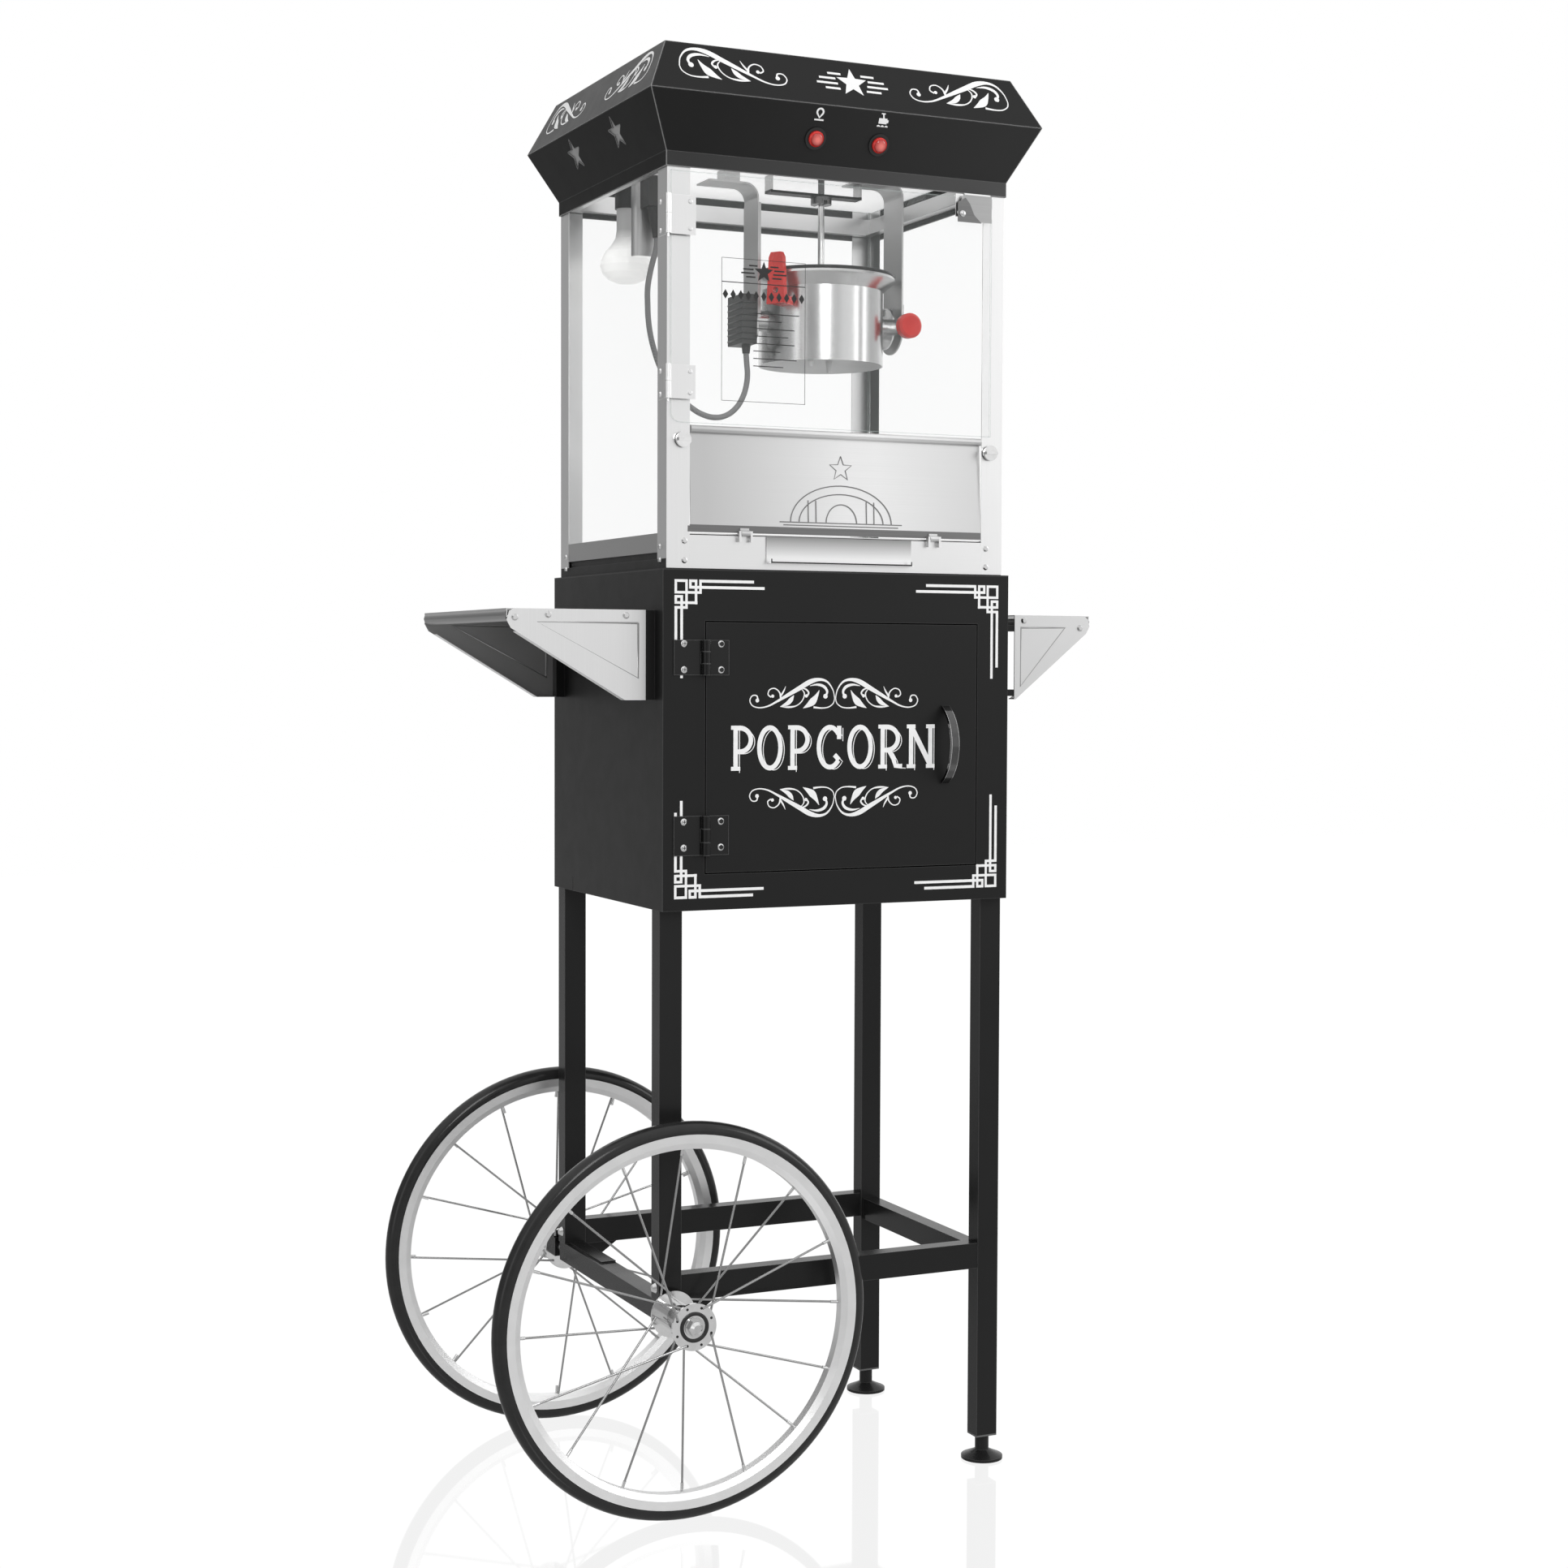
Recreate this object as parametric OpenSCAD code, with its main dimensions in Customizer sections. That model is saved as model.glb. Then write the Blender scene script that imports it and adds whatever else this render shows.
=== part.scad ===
// Popcorn cart: a black steel cabinet on four tube legs, two large spoked wheels on the
// left and two levelling feet on the right, with a glazed popping cabin, a tilting
// kettle and a hipped canopy on top. Seen from the front, +X is right, -Y is the front.
// Millimetres, +Z up. The origin is on the floor under the middle of the whole cart.

/* [Cabinet] */
// Width of the cabinet
cab_w = 451; // [445:1:460]
// Depth of the cabinet
cab_d = 365; // [362:1:370]
// Height of the cabinet's lower edge above the floor
cab_z0 = 693.5; // [680:0.5:700]
// Height of the cabinet's top above the floor
cab_z1 = 1085.2; // [1080:0.1:1090]
// Thickness of the cabinet's steel sheet
sheet = 1.2; // [1:0.1:1.5]
// Left edge of the door opening
door_x0 = -173.5; // [-178:0.5:-170]
// Right edge of the door opening
door_x1 = 183.5; // [180:0.5:188]
// Lower edge of the door opening
door_z0 = 735; // [734:0.5:745]
// Upper edge of the door opening
door_z1 = 1026; // [1015:0.5:1040]

/* [Wheels and legs] */
// Radius of the wheels over the tyre
wheel_r = 228.6; // [220:0.1:235]
// Distance of each wheel's middle plane from the cart's middle
wheel_y = 211.5; // [211:0.1:214]
// Number of spokes in a wheel
spokes = 16; // [8:8:32]
// Width of a leg's tube
leg_w = 28; // [26:0.5:30]
// Depth of a leg's tube
leg_d = 23; // [20:0.5:25]
// Height of the right legs' lower ends above the floor
leg_end_z = 31; // [31:0.5:40]
// Travel of a levelling foot
foot_travel = 15; // [5:1:18]

/* [Shelves] */
// Tip of the left shelf, from the cabinet's middle
shelf_left_tip = 403.5; // [380:0.5:410]
// Tip of the right shelf, from the cabinet's middle
shelf_right_tip = 356; // [340:0.5:380]
// Height of the shelves' top
shelf_z = 1038; // [1034:0.5:1042]

/* [Popping cabin] */
// Width of the popping cabin over its corner posts
pop_w = 438; // [436:0.5:438]
// Depth of the popping cabin over its corner posts
pop_d = 353; // [351:0.5:353]
// Height of the ceiling panel's underside
ceiling_z = 1578.6; // [1575:0.1:1582]
// Top of the serving flap
flap_top_z = 1249.5; // [1240:0.5:1250]

/* [Canopy] */
// Height of the canopy's lower edge
canopy_z0 = 1539.5; // [1539:0.1:1541]
// Height at which the canopy is widest
canopy_ridge_z = 1619; // [1610:0.5:1625]
// Height of the canopy's top, which is the height of the cart
canopy_top_z = 1678.3; // [1670:0.1:1690]

/* [Kettle] */
// Place of the kettle's middle from the cabinet's middle
kettle_x = 62; // [60:0.5:64]
// Radius of the pot
pot_r = 77.5; // [74:0.5:78]
// Height of the pot's lower edge
pot_z0 = 1348; // [1345:0.5:1350]
// Height of the pot's rim
pot_z1 = 1456; // [1450:0.5:1457]
// Height of the trunnions on which the kettle tilts
trunnion_z = 1400; // [1398:0.5:1402]

/* [Hidden] */
$fn = 48;

black = [0.09, 0.09, 0.10];
steel = [0.78, 0.79, 0.80];
red = [0.85, 0.16, 0.14];
running = 0.05;

// Cabinet faces
cx = cab_w / 2;
cy = cab_d / 2;
floor_z = door_z0 - 2;
// Legs stand inside the cabinet's sides
leg_x = cx - sheet - leg_w / 2;
leg_y = 170 - leg_d / 2;
tube = 1.5;
// Axle, beam and hubs
axle_x = -210.8;
axle_r = 6;
beam = 24;
beam_z = wheel_r + beam / 2;
hub_half = 32.5;
rim_r = 214.6;
rim_in_r = 197.6;
// The origin is under the middle of the box around the wheels and the right shelf
row_x = (wheel_r - axle_x - shelf_right_tip) / 2;
// Cabin faces
px = pop_w / 2;
py = pop_d / 2;
base_top_z = 1104.4;
rail_z = 1126.4;
// Canopy half widths and depths: lower edge, ridge, top
can_x = [221, 252.2, 223.8];
can_y = [178.5, 209.7, 181.3];
can_skirt_z = canopy_z0 + 17;
can_t = 1.5;
slope = atan((can_y[1] - can_y[0]) / (canopy_ridge_z - can_skirt_z));
button_z = 1583.6;
button_y = -can_y[0] - (button_z - can_skirt_z) * tan(slope);
button_xs = [-41, 41];
star_ys = [-71, 67];
// Hinge axes
door_pin = [-173.7, -cy - 5];
glass_pin = [-220.5, -183];
flap_pin = [-180, 1127];
flap_lean = 2.5;
flap_hinge_xs = [-122.5, 124];
door_hinges = [[963.6, 1004], [757, 802.5]];
glass_hinges = [[1463, 1507.5], [1277.6, 1316]];
// Kettle
kettle_y = 5;
lid_hinge_y = kettle_y - 9;
arm_xs = [-36, 160];
// Slack kettle lead, in the X-Z plane through the cabinet's middle
lead_r = 3.5;
lead_route = [
    [-42, 1358], [-41, 1346], [-40, 1332], [-42, 1317], [-47, 1303], [-56, 1290],
    [-69, 1281], [-84, 1278], [-100, 1281], [-114, 1288], [-127, 1298], [-139, 1310],
    [-149, 1323], [-157, 1338], [-163, 1354], [-168, 1372], [-171, 1391], [-172, 1410],
    [-172, 1429], [-169, 1447], [-165, 1463], [-161, 1477], [-160, 1490]
];

// ---------------------------------------------------------------- helpers
// A box between two corners
module block(a, b) translate(a) cube(b - a);
// A box that is mirrored to both sides of the YZ plane
module both_x() for (s = [0, 1]) mirror([s, 0, 0]) children();
// Children mirrored to the front and the rear
module both_y() for (s = [0, 1]) mirror([0, s, 0]) children();
// Moves the cabinet's own axes to the origin of the whole cart
module place() translate([row_x, 0, 0]) children();
// Turns children from +Z to face -Y, +Y, -X or +X
module face_front() rotate([90, 0, 0]) children();
module face_left() rotate([0, -90, 0]) children();
module face_right() rotate([0, 90, 0]) children();
// A pan-head screw with its seat at the origin and its shank going down
module screw(r = 4, h = 2.2, shank = 1.9, len = 6) {
    cylinder(r1 = r, r2 = r * 0.62, h = h);
    translate([0, 0, -len]) cylinder(r = shank, h = len + 0.01);
}
// A clearance hole along Z for a screw's shank
module hole(shank = 1.9, len = 16) translate([0, 0, -len / 2]) cylinder(r = shank + 0.2, h = len);
// A solid with a rectangular plan that changes from ring to ring: [half width, half depth, z]
module hipped(rings) {
    n = len(rings);
    points = [for (r = rings, c = [[-1, -1], [1, -1], [1, 1], [-1, 1]])
        [c[0] * r[0], c[1] * r[1], r[2]]];
    walls = [for (i = [0 : n - 2], k = [0 : 3]) let (a = 4 * i, j = (k + 1) % 4)
        [a + 4 + k, a + 4 + j, a + j, a + k]];
    caps = [[0, 1, 2, 3], [for (k = [3 : -1 : 0]) 4 * (n - 1) + k]];
    polyhedron(points = points, faces = concat(walls, caps));
}

// ---------------------------------------------------------------- fastener places
shelf_screws_left = [[-394, 1028], [-354.6, 1031.5], [-261, 1031.5]];
shelf_screws_right = [[342, 1023], [262, 1031.5]];
post_screws = [[-197, 1117], [-197, 1094.8], [197, 1117], [197, 1094.8]];
side_screw_ys = [-156.5, 156.5];
side_screw_zs = [1095, 1110.5];
leaf_screw_zs = [999.6, 969.9, 795.8, 766];
leg_bolt_z = 255;

module at_shelf_screws() both_y() for (p = concat(shelf_screws_left, shelf_screws_right))
    translate([p[0], -158.2, p[1]]) face_front() children();
module at_post_screws() for (p = post_screws)
    translate([p[0], -py, p[1]]) face_front() children();
module at_side_screws() both_x() for (y = side_screw_ys, z = side_screw_zs)
    translate([-px, y, z]) face_left() children();
module at_leaf_screws(x) for (z = leaf_screw_zs)
    translate([x, -cy - 1.5, z]) face_front() children();
module at_leg_bolts() for (x = [-leg_x, leg_x], y = [-leg_y, leg_y])
    translate([x, y, floor_z + sheet]) children();
module at_beam_bolts() both_y()
    translate([-leg_x - leg_w / 2, -leg_y, leg_bolt_z]) face_left() children();

module fasteners() color("silver") place() {
    at_shelf_screws() screw(r = 4, len = 4);
    at_post_screws() screw(r = 3.6, h = 1.8, len = 4);
    at_side_screws() screw(r = 3.4, h = 1.8, len = 1.3);
    at_leaf_screws(-200) screw(r = 3.8, len = 5);
    at_leg_bolts() screw(r = 7, h = 5, shank = 4, len = 12);
    at_beam_bolts() screw(r = 6, h = 4, shank = 3, len = 8);
}

// ---------------------------------------------------------------- stand
module leg(z0, z1) difference() {
    block([-leg_w / 2, -leg_d / 2, z0], [leg_w / 2, leg_d / 2, z1]);
    block([-leg_w / 2 + tube, -leg_d / 2 + tube, z0 - 1],
          [leg_w / 2 - tube, leg_d / 2 - tube, z1 - 3]);
    translate([0, 0, z1]) hole(shank = 4);
}
module legs() color(black) place() difference() {
    both_y() {
        translate([-leg_x, -leg_y, 0]) leg(beam_z, floor_z);
        translate([leg_x, -leg_y, 0]) leg(leg_end_z, floor_z);
    }
    at_beam_bolts() hole(shank = 3, len = 12);
}
// Rectangular tubes between the legs
module stretchers() color(black) place() {
    both_y() difference() {
        block([-leg_x + leg_w / 2, -169, 238.8], [leg_x - leg_w / 2, -149, 270]);
        block([-leg_x, -169 + tube, 238.8 + tube], [leg_x, -149 - tube, 270 - tube]);
    }
    difference() {
        block([leg_x - 11, -leg_y + leg_d / 2, 235], [leg_x + 9, leg_y - leg_d / 2, 263]);
        block([leg_x - 11 + tube, -leg_y, 235 + tube], [leg_x + 9 - tube, leg_y, 263 - tube]);
    }
}
// Square tube that carries the axle, closed at both ends, with a stiffening plate on its rear half
module axle_beam() color(black) place() {
    translate([axle_x, 0, wheel_r]) difference() {
        block([-beam / 2, -170, -beam / 2], [beam / 2, 170, beam / 2]);
        block([-beam / 2 + 2, -158, -beam / 2 + 2], [beam / 2 - 2, 158, beam / 2 - 2]);
        face_front() translate([0, 0, -200]) cylinder(r = axle_r + 0.02, h = 400);
    }
    block([axle_x - 7, 34, beam_z], [axle_x + beam / 2, leg_y - leg_d / 2 - 0.1, beam_z + 2]);
    // gusset plates below the stretchers
    both_y() translate([axle_x + beam / 2, -leg_y, wheel_r]) face_front() linear_extrude(3)
        polygon([[0, -11], [22, -11], [52, 10], [0, 10]]);
}
module axle() color(steel) place() translate([axle_x, 0, wheel_r]) {
    face_front() translate([0, 0, -250]) cylinder(r = axle_r, h = 500);
    both_y() face_front() {
        translate([0, 0, 170.05]) cylinder(r = 9, h = 8.6);
        translate([0, 0, wheel_y + hub_half + 0.4]) cylinder(r = 11.5, h = 2);
        translate([0, 0, wheel_y + hub_half + 2.4]) cylinder(r = 9.5, h = 4.5, $fn = 6);
        translate([0, 0, wheel_y + hub_half + 6.9]) cylinder(r1 = 7.5, r2 = 4.5, h = 3);
    }
}
module foot_bushes() color("dimgray") place() both_y() translate([leg_x, -leg_y, 0])
    difference() {
        union() {
            block([-leg_w / 2, -leg_d / 2, leg_end_z - 2], [leg_w / 2, leg_d / 2, leg_end_z]);
            block([-leg_w / 2 + tube, -leg_d / 2 + tube, leg_end_z - 0.01],
                  [leg_w / 2 - tube, leg_d / 2 - tube, leg_end_z + 18]);
        }
        cylinder(r = 5 + running, h = 80);
    }
// Levelling foot: a dished pad and neck on a threaded stem that rises into the leg
module foot() translate([leg_x, -leg_y, 0]) {
    cylinder(r = 25.5, h = 3.5);
    translate([0, 0, 3.5]) cylinder(r1 = 25.5, r2 = 15, h = 4.5);
    translate([0, 0, 8]) cylinder(r1 = 15, r2 = 9, h = 3);
    translate([0, 0, 11]) cylinder(r = 8.5, h = leg_end_z - 2.5 - 11);
    translate([0, 0, leg_end_z - 3]) cylinder(r = 5, h = 3 + foot_travel + 17);
}
module foot_front() color(black) place() foot();
module foot_rear() color(black) place() mirror([0, 1, 0]) foot();

// ---------------------------------------------------------------- wheels
module ring(profile_r) face_front() rotate_extrude($fn = 96) children();
module tyre() ring() difference() {
    translate([wheel_r - 11, 0]) circle(r = 11);
    translate([0, -20]) square([rim_r, 40]);
}
module rim() ring()
    polygon([[rim_r, -11], [rim_r, 11], [rim_r - 10, 10], [rim_in_r, 6], [rim_in_r, -6],
             [rim_r - 10, -10]]);
// Hub shell with a bush at each end and a dust seal on its outer face
module hub() face_front() {
    difference() {
        union() {
            translate([0, 0, -hub_half]) cylinder(r = 17, h = 2 * hub_half);
            for (s = [-1, 1]) translate([0, 0, s * (hub_half - 1.5) - 1.5])
                cylinder(r = 27, h = 3);
        }
        translate([0, 0, -50]) cylinder(r = 12, h = 100);
    }
    for (z = [-hub_half, hub_half - 14]) translate([0, 0, z]) difference() {
        cylinder(r = 11.98, h = 14);
        translate([0, 0, -1]) cylinder(r = axle_r + running, h = 16);
    }
}
// Crossed tangent spokes: half start outside a flange and half inside it
module spoke_set() for (i = [0 : spokes - 1]) {
    side = i % 2 == 0 ? 1 : -1;
    lean = floor(i / 2) % 2 == 0 ? 1 : -1;
    rim_angle = i * 360 / spokes;
    hub_angle = rim_angle + lean * 42;
    start_y = side * (hub_half - (lean > 0 ? -1 : 4.2));
    a = [22.5 * cos(hub_angle), start_y, 22.5 * sin(hub_angle)];
    b = [(rim_in_r + 0.5) * cos(rim_angle), side * 3, (rim_in_r + 0.5) * sin(rim_angle)];
    d = b - a;
    translate(a) rotate([0, acos(d[2] / norm(d)), atan2(d[1], d[0])])
        cylinder(r = 1.3, h = norm(d), $fn = 16);
}
module at_wheel(s) place() translate([axle_x, s * wheel_y, wheel_r]) children();
module wheel_front_tyre() color(black) at_wheel(-1) tyre();
module wheel_front_rim() color("silver") at_wheel(-1) rim();
module wheel_front_spokes() color("silver") at_wheel(-1) spoke_set();
module wheel_front_hub() color("silver") at_wheel(-1) hub();
module wheel_rear_tyre() color(black) at_wheel(1) tyre();
module wheel_rear_rim() color("silver") at_wheel(1) rim();
module wheel_rear_spokes() color("silver") at_wheel(1) mirror([0, 1, 0]) spoke_set();
module wheel_rear_hub() color("silver") at_wheel(1) hub();

// ---------------------------------------------------------------- cabinet
door_gap = 1.5;
door_depth = 13;
catch_z = (door_z0 + door_z1) / 2;
module cabinet_front() color(black) place() difference() {
    union() {
        block([-cx, -cy, cab_z0], [cx, -cy + sheet, cab_z1 - sheet]);
        // door stop and magnet behind the door's free edge
        block([door_x1, -cy, catch_z - 20], [door_x1 + 4, -cy + 24, catch_z + 20]);
        block([door_x1 - 16, -cy + door_depth + 1, catch_z - 20],
              [door_x1 + 4, -cy + 24, catch_z + 20]);
    }
    block([door_x0, -cy - 1, door_z0], [door_x1, -cy + sheet, door_z1]);
    at_leaf_screws(-200) hole();
}
module cabinet_back() color(black) place()
    block([-cx, cy - sheet, cab_z0], [cx, cy, cab_z1 - sheet]);
module cabinet_sides() color(black) place() difference() {
    both_x() block([-cx, -cy + sheet, cab_z0], [-cx + sheet, cy - sheet, cab_z1 - sheet]);
    // drain slits near the rear lower corners
    both_x() block([-cx - 1, 113.7, cab_z0 - 1], [-cx + sheet + 1, 115.3, cab_z0 + 18]);
}
module cabinet_decks() color(black) place() difference() {
    union() {
        block([-cx + sheet, -cy + sheet, floor_z], [cx - sheet, cy - sheet, floor_z + sheet]);
        block([-cx, -cy, cab_z1 - sheet], [cx, cy, cab_z1]);
    }
    at_leg_bolts() hole(shank = 4);
}
// Door: a flat pan with turned-in edges
module door_panel() color(black) place() difference() {
    block([door_x0 + door_gap, -cy, door_z0 + door_gap],
          [door_x1 - door_gap, -cy + door_depth, door_z1 - door_gap]);
    block([door_x0 + door_gap + sheet, -cy + sheet, door_z0 + door_gap + sheet],
          [door_x1 - door_gap - sheet, -cy + 20, door_z1 - door_gap - sheet]);
    at_leaf_screws(-154) hole();
}
// One hinge: fixed leaf with the outer knuckles and the pin, moving leaf with the middle one
module knuckle(z0, z1, bore) translate([door_pin[0], door_pin[1], z0]) difference() {
    cylinder(r = 4.95, h = z1 - z0);
    translate([0, 0, -1]) cylinder(r = bore, h = z1 - z0 + 2);
}
module door_hinge_leaves() color(black) place() for (h = door_hinges) {
    third = (h[1] - h[0]) / 3;
    difference() {
        block([-212.5, -cy - 1.5, h[0]], [door_pin[0] - 0.2, -cy, h[1]]);
        block([door_pin[0] - 5.4, -cy - 3, h[0] + third - 0.3],
              [door_pin[0] + 1, -cy + 1, h[1] - third + 0.3]);
        at_leaf_screws(-200) hole();
    }
    for (z = [h[0], h[1] - third + 0.3]) knuckle(z, z + third - 0.3, 1);
    translate([door_pin[0], door_pin[1], h[0]]) cylinder(r = 2.5, h = h[1] - h[0]);
}
module door_hinge_flags() color(black) place() for (h = door_hinges) {
    third = (h[1] - h[0]) / 3;
    difference() {
        block([door_pin[0] + 1, -cy - 1.5, h[0]], [-144, -cy, h[1]]);
        for (z = [h[0] - 1, h[1] - third])
            block([door_pin[0] - 1, -cy - 3, z], [door_pin[0] + 5.4, -cy + 1, z + third + 1]);
        at_leaf_screws(-154) hole();
        translate([door_pin[0], door_pin[1], h[0]]) cylinder(r = 2.5 + running, h = 60);
    }
    knuckle(h[0] + third, h[1] - third, 2.5 + running);
    intersection() {
        at_leaf_screws(-154) screw(r = 3.8, len = 5);
        block([-170, -cy - 10, h[0]], [-140, -cy + 10, h[1]]);
    }
}
// Bow handle: a flat strap bent to an arc, standing off the door
bow_z = [837, 925.6];
bow_rise = 25;
bow_r = (pow((bow_z[1] - bow_z[0]) / 2, 2) + bow_rise * bow_rise) / (2 * bow_rise);
bow_half = asin((bow_z[1] - bow_z[0]) / 2 / bow_r);
module door_handle() color("silver") place()
    translate([139, -cy - bow_rise + bow_r, (bow_z[0] + bow_z[1]) / 2]) intersection() {
        face_left() rotate([0, 0, 270 - bow_half]) rotate_extrude(angle = 2 * bow_half, $fn = 96)
            translate([bow_r - 1, -5]) square([4, 10]);
        block([-20, -bow_r - 10, -80], [20, bow_rise - bow_r, 80]);
    }

// ---------------------------------------------------------------- shelves
shelf_low_z = 935;
module shelf_trays() color(steel) place() {
    for (s = [[-1, 237, shelf_left_tip], [1, 249, shelf_right_tip]])
        mirror([s[0] < 0 ? 1 : 0, 0, 0]) {
            block([s[1], -156.6, shelf_z - sheet], [s[2], 156.6, shelf_z]);
            block([s[2] - sheet, -156.6, shelf_z - 10], [s[2], 156.6, shelf_z - sheet]);
        }
}
// Pressed triangular brackets, with a rounded tip and a raised inner triangle
module bracket(root, tip, foot_len) {
    r = 9;
    outline = [[root, shelf_low_z], [root + foot_len, shelf_low_z], [tip - 5, shelf_z - 22],
               [tip, shelf_z - 13], [tip - 3, shelf_z - 3], [tip - r, shelf_z], [root, shelf_z]];
    translate([0, -156.7, 0]) face_front() difference() {
        linear_extrude(1.5) polygon(outline);
        translate([0, 0, 0.9]) linear_extrude(2) polygon([[root + 8, shelf_z - 14],
            [tip - 34, shelf_z - 14], [root + 8, shelf_low_z + 14 + foot_len * 0.4]]);
    }
    // turned-in flange along the slope and the foot
    slope_dir = [tip - 5 - root - foot_len, 0, shelf_z - 22 - shelf_low_z];
    translate([root + foot_len, -156.7, shelf_low_z]) rotate([0, -atan2(slope_dir[2], slope_dir[0]), 0])
        block([0.6, 0, 0], [norm(slope_dir) - 8, 12, 1.2]);
    block([root, -156.7, shelf_low_z], [root + foot_len, -144.7, shelf_low_z + 1.2]);
}
module shelf_brackets() color(steel) place() difference() {
    both_y() {
        mirror([1, 0, 0]) bracket(237, shelf_left_tip, 25);
        bracket(249, shelf_right_tip, 2);
    }
    at_shelf_screws() hole(len = 8);
}
// Upright channels between the cabinet and the left brackets, spacers on the right
module shelf_wall_mounts() color(black) place() both_y() {
    block([-237, -158, shelf_low_z], [-cx, -144, shelf_z]);
    for (z = [shelf_low_z + 4, shelf_z - 20])
        block([cx, -157, z], [249, -149, z + 8]);
}

// ---------------------------------------------------------------- popping cabin
module popper_base() color(black) place() {
    difference() {
        union() {
            block([-px, -py + sheet, cab_z1], [px, py - sheet - 0.1, 1096.7]);
            block([-190.4, py - sheet - 0.2, cab_z1], [190.4, py, 1096.7]);
            block([-px + 3, -py + sheet, 1096.7], [px - 3, py - 3, base_top_z]);
        }
        block([-px + 4.2, -py + 2 * sheet, cab_z1 + 1.5], [px - 4.2, py - 4.2, base_top_z + 1]);
        block([-92, -py, cab_z1 + 8.5], [92, -py + 12, base_top_z + 1]);
        at_post_screws() hole(len = 20);
        at_side_screws() hole(len = 8);
    }
    // runners under the drawer
    both_x() block([-91, -py + 2 * sheet, cab_z1 + 1.5], [-84, 110, 1094]);
}
module popper_rails() color(steel) place() {
    // front rail with the drawer's opening
    difference() {
        block([-190.4, -py, cab_z1 + 0.8], [190.4, -py + sheet, 1124]);
        block([-92, -py - 1, 1093.8], [92, -py + 3, 1122.8]);
    }
    // side and rear rails in front of the glass
    both_x() block([-px, -148.5, base_top_z], [-px + sheet, 148.5, rail_z]);
    block([-190.4, py - sheet, base_top_z], [190.4, py, rail_z]);
    // front header behind the canopy's skirt
    block([-190.4, -py, 1541.5], [190.4, -py + sheet, ceiling_z]);
    // angle rails inside the side and rear panes
    both_x() block([-px + 4.6, -175.2, 1545], [-px + 5.8, 171, 1568]);
    both_x() block([-px + 5.8, -175.2, 1545], [-px + 17, 171, 1546.2]);
    block([-px + 5.8, 169.8, 1546.2], [px - 5.8, 171, 1568]);
    block([-px + 17, 159, 1545], [px - 17, 171, 1546.2]);
    // fixed half of the flap's hinges, with its pins
    for (x = flap_hinge_xs) {
        for (s = [[-8.5, -5.8], [5.8, 8.5]])
            block([x + s[0], flap_pin[0] - 2.5, 1117], [x + s[1], -py, flap_pin[1] + 2.5]);
        translate([x - 8.5, flap_pin[0], flap_pin[1]]) face_right() cylinder(r = 2, h = 17);
    }
}
module crumb_screen() color(steel) place() difference() {
    block([-px + 6, -py + 3, rail_z - 1.2], [px - 6, py - 6, rail_z]);
    for (x = [-120 : 30 : 120], y = [-120 : 30 : 90])
        translate([x, y, rail_z - 4]) cylinder(r = 4, h = 8, $fn = 16);
}
module corner_posts() color(steel) place() difference() {
    both_x() both_y() {
        block([-px, -py, cab_z1 + 0.8], [-190.5, -py + sheet, ceiling_z]);
        block([-px, -py + sheet - 0.01, 1096.8], [-px + sheet, -148.6, ceiling_z]);
    }
    at_post_screws() hole(len = 8);
    at_side_screws() hole(len = 8);
}
module fixed_glass() color([0.85, 0.92, 0.95, 0.35]) place() {
    both_x() block([-px + 1.4, -py + 1.5, base_top_z + 0.1], [-px + 4.4, py - 1.5, ceiling_z - 0.6]);
    block([-px + 5, py - 5, rail_z + 0.2], [px - 5, py - 1.6, ceiling_z - 0.6]);
}
module glass_hinge_leaves() color(steel) place() for (h = glass_hinges) {
    mid = (h[0] + h[1]) / 2;
    block([-px - 1.2, glass_pin[1] + 4.6, h[0]], [-px, -152, h[1]]);
    block([-px - 1.2, glass_pin[1] + 2, mid + 0.2], [-px, glass_pin[1] + 5, h[1]]);
    translate([glass_pin[0], glass_pin[1], mid + 0.2]) cylinder(r = 4, h = h[1] - mid - 0.2);
    translate([glass_pin[0], glass_pin[1], h[0] - 4]) cylinder(r = 1.8, h = h[1] - h[0]);
    for (z = [h[0] + 6, h[1] - 6]) translate([-px - 1.2, -160, z]) face_left()
        cylinder(r1 = 3.2, r2 = 2, h = 1.6);
}
pane_x = [-216, 200];
pane_y = [-181, -177.6];
pane_z = [flap_top_z + 1.5, 1535];
pane_corner = 12;
module glass_door_pane() color([0.85, 0.92, 0.95, 0.35]) place() difference() {
    union() {
        difference() {
            block([pane_x[0], pane_y[0], pane_z[0]], [pane_x[1], pane_y[1], pane_z[1]]);
            translate([pane_x[0] - 1, pane_y[0] - 1, pane_z[0] - 1])
                cube([pane_corner + 1, 10, pane_corner + 1]);
        }
        intersection() {
            translate([pane_x[0] + pane_corner, pane_y[1], pane_z[0] + pane_corner]) face_front()
                cylinder(r = pane_corner, h = pane_y[1] - pane_y[0]);
            block([pane_x[0], pane_y[0], pane_z[0]],
                  [pane_x[0] + pane_corner, pane_y[1], pane_z[0] + pane_corner]);
        }
    }
    for (h = glass_hinges, z = [h[0] + 7, h[1] - 7])
        translate([-193, -182, z]) face_front() hole(shank = 1.6);
    translate([156, -182, 1516]) face_front() hole(shank = 1.6);
}
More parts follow.
